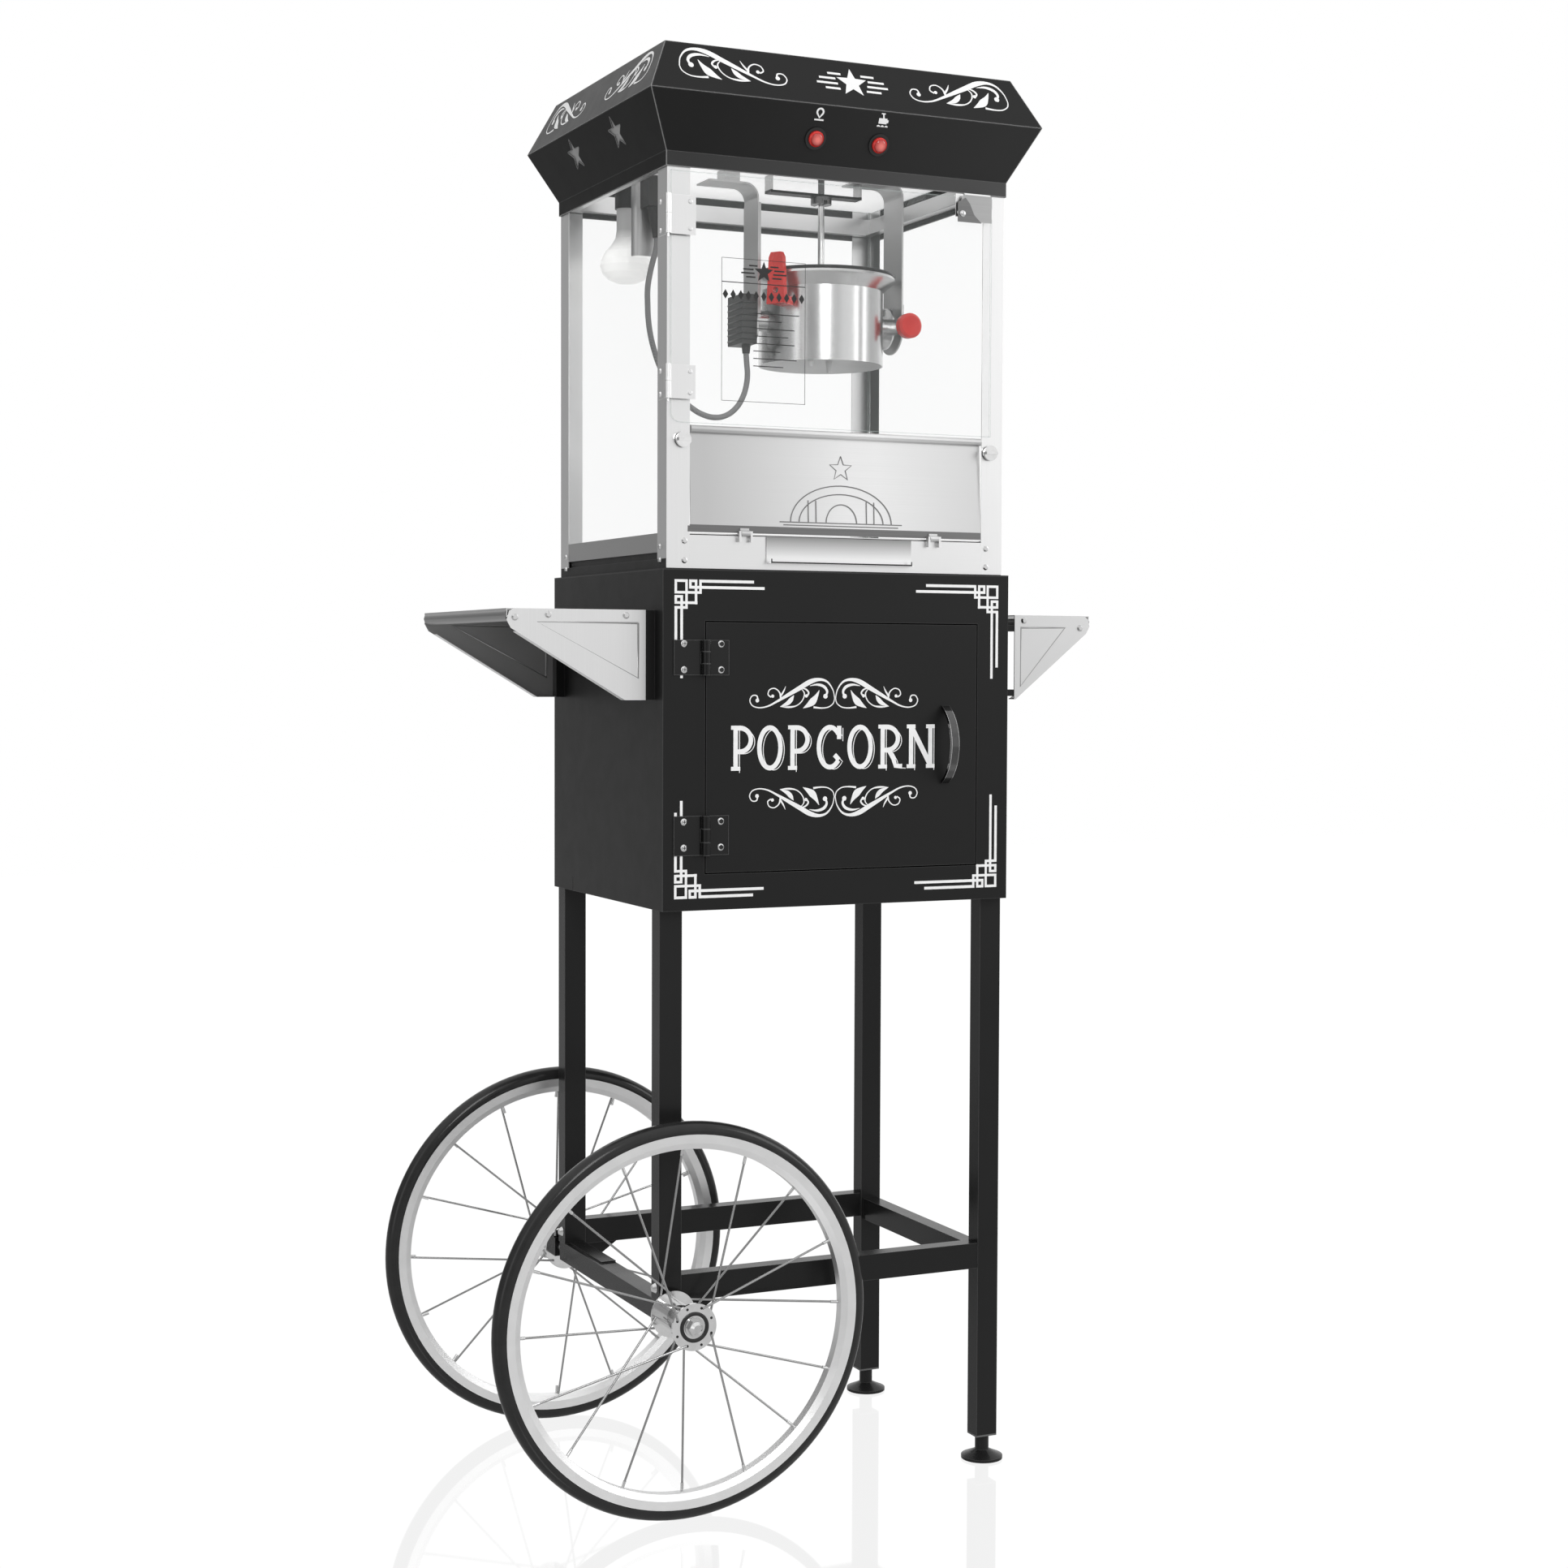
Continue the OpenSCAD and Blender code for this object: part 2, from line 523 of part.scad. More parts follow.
module glass_door_hardware() color(steel) place() {
    for (h = glass_hinges) {
        mid = (h[0] + h[1]) / 2;
        difference() {
            union() {
                block([glass_pin[0] + 3, -182.2, h[0]], [-186, -181.05, mid - 0.2]);
                block([-216.3, -182.2, mid - 0.3], [-186, -181.05, h[1]]);
                translate([glass_pin[0], glass_pin[1], h[0]]) cylinder(r = 4, h = mid - h[0] - 0.2);
            }
            translate([glass_pin[0], glass_pin[1], h[0] - 1]) cylinder(r = 1.8 + running, h = 60);
        }
        for (z = [h[0] + 7, h[1] - 7]) translate([-193, -182.2, z]) face_front()
            screw(r = 3, h = 1.6, shank = 1.6, len = 5);
    }
    // strike clipped over the pane's free upper corner, with its screw
    difference() {
        block([150, pane_y[0] - 1.2, 1511], [176, pane_y[0] - 0.05, 1538]);
        translate([156, -182, 1516]) face_front() hole(shank = 1.6);
    }
    block([150, pane_y[0] - 1.2, pane_z[1] + 0.1], [198, pane_y[1], pane_z[1] + 1.3]);
    translate([0, pane_y[0] - 1.2, 0]) face_front() linear_extrude(1.5) polygon([[160, 1539],
        [196, 1539], [200, 1511], [183, 1511], [176, 1515], [171, 1522], [166, 1532]]);
    translate([156, -182.2, 1516]) face_front() screw(r = 4, h = 1.6, shank = 1.6, len = 5);
}
// Serving flap: a leaning sheet with a rolled top edge, hinged along its foot
module serving_flap() color(steel) place() {
    difference() {
        translate([0, -py + 0.2, flap_pin[1] + 0.5]) rotate([-flap_lean, 0, 0]) union() {
            block([-189, 0, 0], [190, 1.2, flap_top_z - flap_pin[1] - 4]);
            translate([-189, -2.4, flap_top_z - flap_pin[1] - 5]) face_right()
                cylinder(r = 4.4, h = 379);
        }
        for (x = flap_hinge_xs)
            block([x - 9, -190, flap_pin[1] - 5], [x + 9, -165, flap_pin[1] + 4.6]);
    }
    for (x = flap_hinge_xs) {
        difference() {
            union() {
                translate([x - 5.6, flap_pin[0], flap_pin[1]]) face_right() cylinder(r = 3.4, h = 11.2);
                block([x - 5.6, flap_pin[0] + 1.5, flap_pin[1]], [x + 5.6, -py + 1.4, flap_pin[1] + 6]);
            }
            translate([x - 10, flap_pin[0], flap_pin[1]]) face_right()
                cylinder(r = 2 + running, h = 20);
        }
    }
}
// Crumb drawer: an open tray with an overlapping front and a lip to pull
drawer_back_y = 105;
drawer_travel = 220;
module crumb_drawer() color(steel) place() {
    difference() {
        block([-90.5, -py - 0.3, 1094.2], [90.5, drawer_back_y, 1121]);
        block([-89.3, -py + 1.2, 1095.4], [89.3, drawer_back_y - 1.2, 1130]);
    }
    block([-94.5, -py - 1.6, 1093.2], [94.5, -py - 0.3, 1124.2]);
    block([-94.5, -py - 9, 1093.2], [94.5, -py - 1.6, 1094.4]);
}
// Turn catches on the front posts, beside the flap
module catch(x, s) translate([x, -py, 1232]) face_front() {
    cylinder(r = 3, h = 2);
    translate([0, 0, 2]) cylinder(r = 9, h = 3.2);
    translate([-7.5, -1.8, 5.2]) cube([15, 3.6, 4]);
    translate([s > 0 ? 0 : -9.8, -3.2, 2]) cube([9.8, 6.4, 1.6]);
}
module flap_catch_left() color("silver") place() catch(-199.8, 1);
module flap_catch_right() color("silver") place() catch(200.8, -1);

// ---------------------------------------------------------------- canopy and ceiling
module ceiling_panel() color(steel) place() difference() {
    block([-px, -py, ceiling_z], [px, py, ceiling_z + sheet]);
    translate([kettle_x, kettle_y, ceiling_z - 1]) cylinder(r = 6, h = 4);
}
// Places children on the lower front slope, with +Z out of the sheet
module on_slope(x) translate([x, button_y, button_z]) rotate([90 + slope, 0, 0]) children();
module star(r) polygon([for (i = [0 : 9]) let (q = i % 2 == 0 ? r : r * 0.4)
    [q * sin(i * 36), q * cos(i * 36)]]);
// Places children on both lower side slopes, with +Z out of the sheet
module at_stars() both_x() for (y = star_ys)
    translate([-can_x[0] - (1594.5 - can_skirt_z) * tan(slope), y, 1594.5])
        rotate([0, 0, -90]) rotate([90 + slope, 0, 0]) children();
// Rings of the canopy's outline, drawn in by a wall thickness
function canopy_rings(t, low, high) = [
    [can_x[0] - t, can_y[0] - t, low], [can_x[0] - t, can_y[0] - t, can_skirt_z],
    [can_x[1] - t, can_y[1] - t, canopy_ridge_z], [can_x[2] - t, can_y[2] - t, high]];
module canopy() color(black) place() difference() {
    hipped(canopy_rings(0, canopy_z0, canopy_top_z));
    hipped(canopy_rings(can_t, canopy_z0 - 5, canopy_top_z - can_t));
    for (x = button_xs) on_slope(x) translate([0, 0, -8]) cylinder(r = 11.1, h = 16);
    at_stars() translate([0, 0, -4]) linear_extrude(8) star(20);
}
module star_lenses() color([0.95, 0.95, 0.9]) place() at_stars()
    translate([-23, -23, -3.4]) cube([46, 46, 2]);
module button_bezels() color("black") place() for (x = button_xs) on_slope(x) difference() {
    union() {
        translate([0, 0, -10]) cylinder(r = 10.9, h = 10.1);
        translate([0, 0, 0.05]) cylinder(r = 13, h = 1.75);
    }
    translate([0, 0, -9]) cylinder(r = 9.2, h = 20);
}
button_travel = 3;
module button(x) color(red) place() on_slope(x) {
    translate([0, 0, -5]) cylinder(r = 9.1, h = 9);
    translate([0, 0, 4]) cylinder(r1 = 9.1, r2 = 7.6, h = 1.6);
}
module light_button() button(button_xs[0]);
module kettle_button() button(button_xs[1]);
// Stirring motor and gearbox above the ceiling
module stir_motor() color("dimgray") place()
    translate([kettle_x, kettle_y, ceiling_z + sheet]) difference() {
        union() {
            block([-35, -28, 0], [35, 28, 28]);
            translate([-8, 0, 28]) cylinder(r = 24, h = 34);
        }
        translate([0, 0, -1]) cylinder(r = 4 + running, h = 20);
    }
// Hangers that carry the kettle, the stirrer's strap and the lead's outlet bracket
hanger_ws = [40, 50];
hanger_feet = [66, 62];
hanger_tops = [1563, ceiling_z];
hanger_end_r = 32;
latch_pin = [arm_xs[1] + 4.2, 1488];
latch_y = [-3, 13];
detent_z = 1420;
// A strap bent from a foot of the given length and height into a drop with a rounded lower end
module hanger(foot_len, foot_z, wide) difference() {
    translate([0, wide / 2, 0]) face_front() linear_extrude(wide) difference() {
        union() {
            translate([-foot_len, foot_z - 2]) square([foot_len - 18, 2]);
            translate([-18, foot_z - 18]) intersection() {
                circle(r = 18);
                square(18);
            }
            translate([-2, trunnion_z]) square([2, foot_z - 18 - trunnion_z]);
        }
        translate([-18, foot_z - 18]) circle(r = 16);
    }
    translate([-10, kettle_y, trunnion_z]) face_right() cylinder(r = axle_r + running, h = 20);
}
module hanger_end(wide) difference() {
    intersection() {
        translate([-2, kettle_y, trunnion_z]) face_right() cylinder(r = hanger_end_r, h = 2);
        block([-2, -wide / 2, trunnion_z - 50], [0, wide / 2, trunnion_z]);
    }
    translate([-10, kettle_y, trunnion_z]) face_right() cylinder(r = axle_r + running, h = 20);
}
module ceiling_brackets() color(steel) place() {
    for (i = [0, 1]) translate([arm_xs[i] + 2, 0, 0]) difference() {
        union() {
            hanger(hanger_feet[i], hanger_tops[i], hanger_ws[i]);
            hanger_end(hanger_ws[i]);
        }
        if (i == 1) translate([-10, kettle_y, detent_z]) face_right() cylinder(r = 6, h = 20);
    }
    // post between the left hanger's foot and the ceiling
    block([arm_xs[0] - 40, -12, hanger_tops[0]], [arm_xs[0] - 20, 12, ceiling_z]);
    // turned edges that stiffen the left hanger
    for (y = [-hanger_ws[0] / 2 - 1.5, hanger_ws[0] / 2])
        block([arm_xs[0], y, trunnion_z], [arm_xs[0] + 4, y + 1.5, 1540]);
    // lugs and pin of the kettle's latch
    for (y = [latch_y[0] - 2.5, latch_y[1] + 0.3])
        block([arm_xs[1] + 2, y, latch_pin[1] - 3], [latch_pin[0] + 2, y + 2.2, latch_pin[1] + 3]);
    translate([latch_pin[0], latch_y[1] + 2.5, latch_pin[1]]) face_front() cylinder(r = 1.2, h = 21);
    // strap under the ceiling that steadies the drive shaft
    difference() {
        union() {
            block([-11, kettle_y - 9, 1557], [114, kettle_y + 9, 1560]);
            for (x = [-11, 111]) block([x, kettle_y - 9, 1560], [x + 3, kettle_y + 9, ceiling_z]);
        }
        translate([kettle_x, kettle_y, 1550]) cylinder(r = 4 + running, h = 20);
    }
    // outlet bracket with a rounded edge
    block([-174, 14.1, 1470], [-141, 16, ceiling_z]);
    translate([-174, 24, 1470]) intersection() {
        difference() {
            cylinder(r = 9.9, h = ceiling_z - 1470);
            translate([0, 0, -1]) cylinder(r = 8, h = 200);
        }
        block([-10, -10, 0], [0, 0, 200]);
    }
}
// Connector box on the left hanger, and the ceiling outlet at the lead's other end
module lead_plugs() color("dimgray") place() {
    difference() {
        union() {
            block([-56, -20, 1368], [arm_xs[0] - 0.2, 24, 1428]);
            translate([-42, 0, 1358]) cylinder(r1 = 4.5, r2 = 5.6, h = 10.01);
        }
        translate([-53, kettle_y, trunnion_z]) face_right() cylinder(r = axle_r + running, h = 60);
    }
    block([-176, -13, 1526], [-146, 14, 1562]);
    translate([-160, 0, 1505]) cylinder(r1 = 8, r2 = 12, h = 21.01);
    translate([-160, 0, 1490]) cylinder(r1 = 5, r2 = 8, h = 15.01);
}
module kettle_lead() color([0.3, 0.3, 0.31]) place() sweep_lead(lead_route, lead_r, 8);
// Tangent at a point of the route, in the X-Z plane
function tangent(route, i) = let (n = len(route) - 1,
    d = i == 0 || i == n ? [0, i == 0 ? -1 : 1] : route[min(n, i + 1)] - route[max(0, i - 1)])
    d / norm(d);
module sweep_lead(route, r, sides) {
    n = len(route);
    points = [for (i = [0 : n - 1]) let (t = tangent(route, i)) for (k = [0 : sides - 1])
        let (a = k * 360 / sides, u = r * cos(a), v = r * sin(a))
        [route[i][0] - t[1] * u, v, route[i][1] + t[0] * u]];
    walls = [for (i = [0 : n - 2], k = [0 : sides - 1]) let (j = (k + 1) % sides)
        [i * sides + k, i * sides + j, (i + 1) * sides + j, (i + 1) * sides + k]];
    ends = [[for (k = [sides - 1 : -1 : 0]) k], [for (k = [0 : sides - 1]) (n - 1) * sides + k]];
    polyhedron(points = points, faces = concat(walls, ends));
}
lamp = [-165, 88];
module lamp_socket() color(black) place() translate([lamp[0], lamp[1], 1538]) difference() {
    cylinder(r = 14.5, h = ceiling_z - 1538);
    translate([0, 0, -1]) cylinder(r = 12.6, h = 20);
}
module lamp_bulb() color("whitesmoke") place() translate([lamp[0], lamp[1], 0])
    rotate_extrude() polygon([[0, 1446], [12, 1447.5], [23, 1452], [30, 1459], [33, 1468],
        [32, 1475], [27, 1485], [19, 1494], [14, 1502], [12.4, 1512], [12.4, 1556], [0, 1556]]);

// ---------------------------------------------------------------- kettle
pot_t = 1.5;
knob_y = -32;
module kettle_pot() color(steel) place() difference() {
    union() {
        translate([kettle_x, kettle_y, 0]) rotate_extrude($fn = 96) polygon([
            [0, 1357], [pot_r - pot_t, 1357], [pot_r - pot_t, pot_z0], [pot_r, pot_z0],
            [pot_r, 1439], [91, 1451], [93, 1453], [92, pot_z1], [90.5, pot_z1 - 2],
            [90, 1452.6], [pot_r - pot_t, 1440.4], [pot_r - pot_t, 1358.5], [0, 1358.5]]);
        // trunnions through the hangers, on bosses welded to the wall
        translate([arm_xs[0] - 16, kettle_y, trunnion_z]) face_right() cylinder(r = axle_r, h = 20);
        translate([arm_xs[0] + 2.2, kettle_y, trunnion_z]) face_right()
            cylinder(r = 13, h = kettle_x - pot_r + 0.7 - arm_xs[0] - 2.2);
        translate([138, kettle_y, trunnion_z]) face_right() cylinder(r = axle_r, h = 30);
        translate([139, kettle_y, trunnion_z]) face_right() cylinder(r = 13, h = 13);
        // index plate with its arm to the dump handle
        difference() {
            union() {
                translate([151, kettle_y, trunnion_z]) face_right() cylinder(r = 26, h = 2);
                block([151, knob_y, trunnion_z - 11], [153, kettle_y, trunnion_z + 9]);
                block([151, knob_y, trunnion_z - 11], [168, knob_y + 2, trunnion_z + 9]);
            }
            translate([140, kettle_y, detent_z]) face_right() cylinder(r = 4.4, h = 20);
        }
    }
    translate([kettle_x, kettle_y, 1360]) cylinder(r = pot_r - pot_t - 0.01, h = 70);
}
// Insulated heater pan under the pot, with its two studs
module kettle_base() color("whitesmoke") place() {
    translate([kettle_x, kettle_y, pot_z0]) cylinder(r = pot_r - pot_t - 0.1, h = 8.9);
    for (p = [[22, -51, 8], [49, -46, 14]]) translate([p[0], p[1], pot_z0 - p[2]])
        cylinder(r1 = 2.6, r2 = 4.2, h = p[2] + 0.01);
}
// Fixed rear half of the lid, with the hole for the stirrer
lid_z = pot_z1 + 0.1;
module kettle_lid_rear() color("dimgray") place() difference() {
    intersection() {
        translate([kettle_x, kettle_y, lid_z]) cylinder(r = 91.5, h = 1.2);
        block([-100, lid_hinge_y + 2.4, 1400], [200, 200, 1500]);
    }
    translate([kettle_x, kettle_y, 1400]) cylinder(r = 4.3, h = 100);
}
module kettle_lid_front() color("dimgray") place() {
    intersection() {
        translate([kettle_x, kettle_y, lid_z]) cylinder(r = 91.5, h = 1.2);
        block([-100, -200, 1400], [200, lid_hinge_y - 0.2, 1500]);
    }
    for (x = [-50, 20]) translate([kettle_x + x, lid_hinge_y, lid_z + 2.4]) face_right()
        cylinder(r = 2, h = 30);
}
// Red heat-proof grip, standing off the left front of the pot on a steel strap
module kettle_grip() color(red) place() translate([kettle_x, kettle_y, 0]) rotate([0, 0, 212]) {
    difference() {
        translate([96, 0, 0]) rotate([90, 0, 90]) linear_extrude(7)
            polygon([[-13, 1414], [13, 1414], [10, 1470], [7, 1476], [-7, 1476], [-10, 1470]]);
        translate([90, 0, 1430]) face_right() cylinder(r = 4, h = 20);
    }
    block([pot_r + 0.1, -9, 1414], [96.1, 9, 1424]);
}
// Stirrer: rod, its two blades in the pot and the tang that the drive's collar turns
module stirrer() color(steel) place() translate([kettle_x, kettle_y, 0]) {
    translate([0, 0, 1361]) cylinder(r = 4, h = 1546 - 1361);
    translate([0, 0, 1361]) cylinder(r = 8, h = 10);
    for (a = [0, 180]) rotate([0, 0, a]) translate([6, -1, 1361]) cube([62, 2, 8]);
    block([-2.2, -3.2, 1545.9], [2.2, 3.2, 1551]);
}
// Drive shaft: runs in the gearbox and the strap, and ends in a slotted collar
module drive_shaft() color(steel) place() translate([kettle_x, kettle_y, 0]) difference() {
    union() {
        translate([0, 0, 1555]) cylinder(r = 4, h = ceiling_z + 16 - 1555);
        translate([0, 0, 1548]) cylinder(r = 13, h = 8.5);
    }
    block([-2.6, -20, 1540], [2.6, 20, 1552.5]);
}
// Spring latch outside the right hanger: leaf, finger tab and the detent that locks the kettle
latch_t = 1.2;
module kettle_latch() color(steel) place() {
    x = latch_pin[0] - latch_t / 2;
    difference() {
        union() {
            block([x, latch_y[0], detent_z - 8], [x + latch_t, latch_y[1], latch_pin[1]]);
            translate([latch_pin[0], latch_y[1], latch_pin[1]]) face_front()
                cylinder(r = 2.2, h = latch_y[1] - latch_y[0]);
        }
        translate([latch_pin[0], latch_y[1] + 1, latch_pin[1]]) face_front()
            cylinder(r = 1.2 + running, h = 18);
    }
    translate([x - 9, kettle_y, detent_z]) face_right() cylinder(r = 4, h = 9.5);
    block([x, latch_y[0] - 19, detent_z - 8], [x + latch_t, latch_y[0] + 1, detent_z + 8]);
}
// Red knob of the dump handle, facing the front
module dump_knob() color(red) place() translate([158, knob_y, trunnion_z - 2]) face_front() {
    cylinder(r = 9, h = 12);
    translate([0, 0, 12]) cylinder(r = 15.5, h = 9);
    translate([0, 0, 21]) cylinder(r1 = 15.5, r2 = 12.5, h = 2.4);
}

// ---------------------------------------------------------------- output
legs();
stretchers();
axle_beam();
axle();
foot_bushes();
fasteners();
cabinet_front();
cabinet_back();
cabinet_sides();
cabinet_decks();
door_hinge_leaves();
shelf_trays();
shelf_brackets();
shelf_wall_mounts();
popper_base();
popper_rails();
crumb_screen();
corner_posts();
fixed_glass();
ceiling_panel();
canopy();
star_lenses();
button_bezels();
stir_motor();
ceiling_brackets();
lead_plugs();
kettle_lead();
lamp_socket();
lamp_bulb();
glass_hinge_leaves();
door_panel();
door_hinge_flags();
door_handle();
glass_door_pane();
glass_door_hardware();
serving_flap();
crumb_drawer();
flap_catch_left();
flap_catch_right();
light_button();
kettle_button();
kettle_pot();
kettle_base();
kettle_lid_rear();
kettle_grip();
kettle_lid_front();
stirrer();
drive_shaft();
kettle_latch();
dump_knob();
wheel_front_tyre();
wheel_front_rim();
wheel_front_spokes();
wheel_front_hub();
wheel_rear_tyre();
wheel_rear_rim();
wheel_rear_spokes();
wheel_rear_hub();
foot_front();
foot_rear();
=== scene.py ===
import math

import bmesh
import bpy
from mathutils import Matrix, Vector
from mathutils.bvhtree import BVHTree


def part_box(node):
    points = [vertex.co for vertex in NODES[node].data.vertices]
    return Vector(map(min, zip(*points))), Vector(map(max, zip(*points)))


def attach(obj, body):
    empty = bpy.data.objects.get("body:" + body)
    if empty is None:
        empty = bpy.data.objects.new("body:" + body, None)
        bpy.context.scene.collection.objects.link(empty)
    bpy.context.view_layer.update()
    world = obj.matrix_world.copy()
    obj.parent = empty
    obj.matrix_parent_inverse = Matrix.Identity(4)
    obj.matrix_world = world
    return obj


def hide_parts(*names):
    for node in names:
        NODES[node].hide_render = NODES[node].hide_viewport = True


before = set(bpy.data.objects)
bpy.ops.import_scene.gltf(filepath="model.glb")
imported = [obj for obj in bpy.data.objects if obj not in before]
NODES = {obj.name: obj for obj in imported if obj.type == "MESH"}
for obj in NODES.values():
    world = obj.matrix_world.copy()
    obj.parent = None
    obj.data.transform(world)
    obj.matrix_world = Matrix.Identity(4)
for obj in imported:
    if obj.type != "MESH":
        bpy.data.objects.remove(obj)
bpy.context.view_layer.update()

MM = 0.001

# ---------------- places taken from the frame
cabinet_low, cabinet_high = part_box("cabinet_sides")
MIDDLE = Vector(((cabinet_low.x + cabinet_high.x) / 2, 0, 0))


def at(x, y, z):
    """A point given in millimetres from the cabinet's middle and the floor."""
    return MIDDLE + Vector((x, y, z)) * MM


def add(name, data):
    """A new object in the scene."""
    obj = bpy.data.objects.new(name, data)
    bpy.context.scene.collection.objects.link(obj)
    return obj


# ---------------- camera
CAMERA_PLACE = (-1290.2, -2799.2, 971.7)
CAMERA_YAW = 24.94
CAMERA_PITCH = -2.25
CAMERA_ROLL = 0.21
CAMERA_LENS = 56.96
SENSOR_WIDTH = 36
CAMERA_SHIFT_Y = -0.0115


def make_camera():
    data = bpy.data.cameras.new("camera")
    data.lens, data.sensor_width, data.shift_y = CAMERA_LENS, SENSOR_WIDTH, CAMERA_SHIFT_Y
    data.clip_start, data.clip_end = 0.05, 60
    camera = add("camera", data)
    yaw, pitch, roll = (math.radians(a) for a in (CAMERA_YAW, CAMERA_PITCH, CAMERA_ROLL))
    forward = Vector((math.sin(yaw) * math.cos(pitch), math.cos(yaw) * math.cos(pitch),
                      math.sin(pitch)))
    level = Vector((math.cos(yaw), -math.sin(yaw), 0))
    upright = level.cross(forward)
    right = level * math.cos(roll) + upright * math.sin(roll)
    up = upright * math.cos(roll) - level * math.sin(roll)
    turn = Matrix((right, up, -forward)).transposed().to_4x4()
    camera.matrix_world = Matrix.Translation(at(*CAMERA_PLACE)) @ turn
    bpy.context.scene.camera = camera


make_camera()

# ---------------- the kettle lead
LEAD_DIAMETER = 7 * MM
LEAD_ROUTE = [  # millimetres across and up, in the plane through the cabinet's middle
    (-42, 1358), (-41, 1346), (-40, 1332), (-42, 1317), (-47, 1303), (-56, 1290), (-69, 1281),
    (-84, 1278), (-100, 1281), (-114, 1288), (-127, 1298), (-139, 1310), (-149, 1323),
    (-157, 1338), (-163, 1354), (-168, 1372), (-171, 1391), (-172, 1410), (-172, 1429),
    (-169, 1447), (-165, 1463), (-161, 1477), (-160, 1490)]


def make_lead():
    """The kettle's lead, one smooth round cord along its route."""
    route = [at(x, 0, z) for x, z in LEAD_ROUTE]
    data = bpy.data.curves.new("kettle_lead_cord", "CURVE")
    data.dimensions = "3D"
    data.bevel_depth, data.bevel_resolution, data.resolution_u = 1, 5, 6
    line = data.splines.new("BEZIER")
    line.bezier_points.add(len(route) - 1)
    for point, place in zip(line.bezier_points, route):
        point.co, point.radius = place, LEAD_DIAMETER / 2
        point.handle_left_type = point.handle_right_type = "AUTO"
    lead = add("kettle_lead_cord", data)
    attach(lead, "root")
    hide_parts("kettle_lead")
    return lead


lead = make_lead()


def canopy_profile():
    """The canopy's left front corner at its ridge, at its skirt's top and at its roof's edge."""
    points = [v.co for v in NODES["canopy"].data.vertices]
    near = 0.2 * MM
    low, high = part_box("canopy")
    ridge_z = min((p for p in points if p.y < low.y + near), key=lambda p: p.z).z
    roof = [p for p in points if p.z > high.z - near]
    skirt_y = min(p.y for p in points if p.z < low.z + near)
    skirt_x = min(p.x for p in points if p.z < low.z + near)
    skirt_z = max(p.z for p in points if abs(p.y - skirt_y) < near)
    return {"ridge": (low.x, low.y, ridge_z), "skirt": (skirt_x, skirt_y, skirt_z),
            "roof": (min(p.x for p in roof), min(p.y for p in roof), high.z)}


PROFILE = canopy_profile()


# ---------------- materials
FINISHES = {}


class Tree:
    """The node tree of a material or world, empty at first."""

    def __init__(self, owner):
        owner.use_nodes = True
        self.tree = owner.node_tree
        self.tree.nodes.clear()

    def node(self, kind, **settings):
        made = self.tree.nodes.new(kind)
        for key, value in settings.items():
            setattr(made, key, value)
        return made

    def link(self, out, into):
        self.tree.links.new(out, into)

    def spread(self, value, low, high, start=0.3, end=0.7):
        """value, from start to end, becomes low to high."""
        mapped = self.node("ShaderNodeMapRange")
        for name, number in (("From Min", start), ("From Max", end), ("To Min", low),
                             ("To Max", high)):
            mapped.inputs[name].default_value = number
        self.link(value, mapped.inputs["Value"])
        return mapped.outputs["Result"]

    def blend(self, share, low, high):
        """The colour low where share is 0, and high where it is 1. Either may be a socket."""
        mixed = self.node("ShaderNodeMix", data_type="RGBA")
        self.link(share, mixed.inputs["Factor"])
        for socket, colour in ((mixed.inputs[6], low), (mixed.inputs[7], high)):
            if isinstance(colour, tuple):
                socket.default_value = (*colour, 1)
            else:
                self.link(colour, socket)
        return mixed.outputs[2]

    def parts(self, vector):
        split = self.node("ShaderNodeSeparateXYZ")
        self.link(vector, split.inputs[0])
        return split.outputs


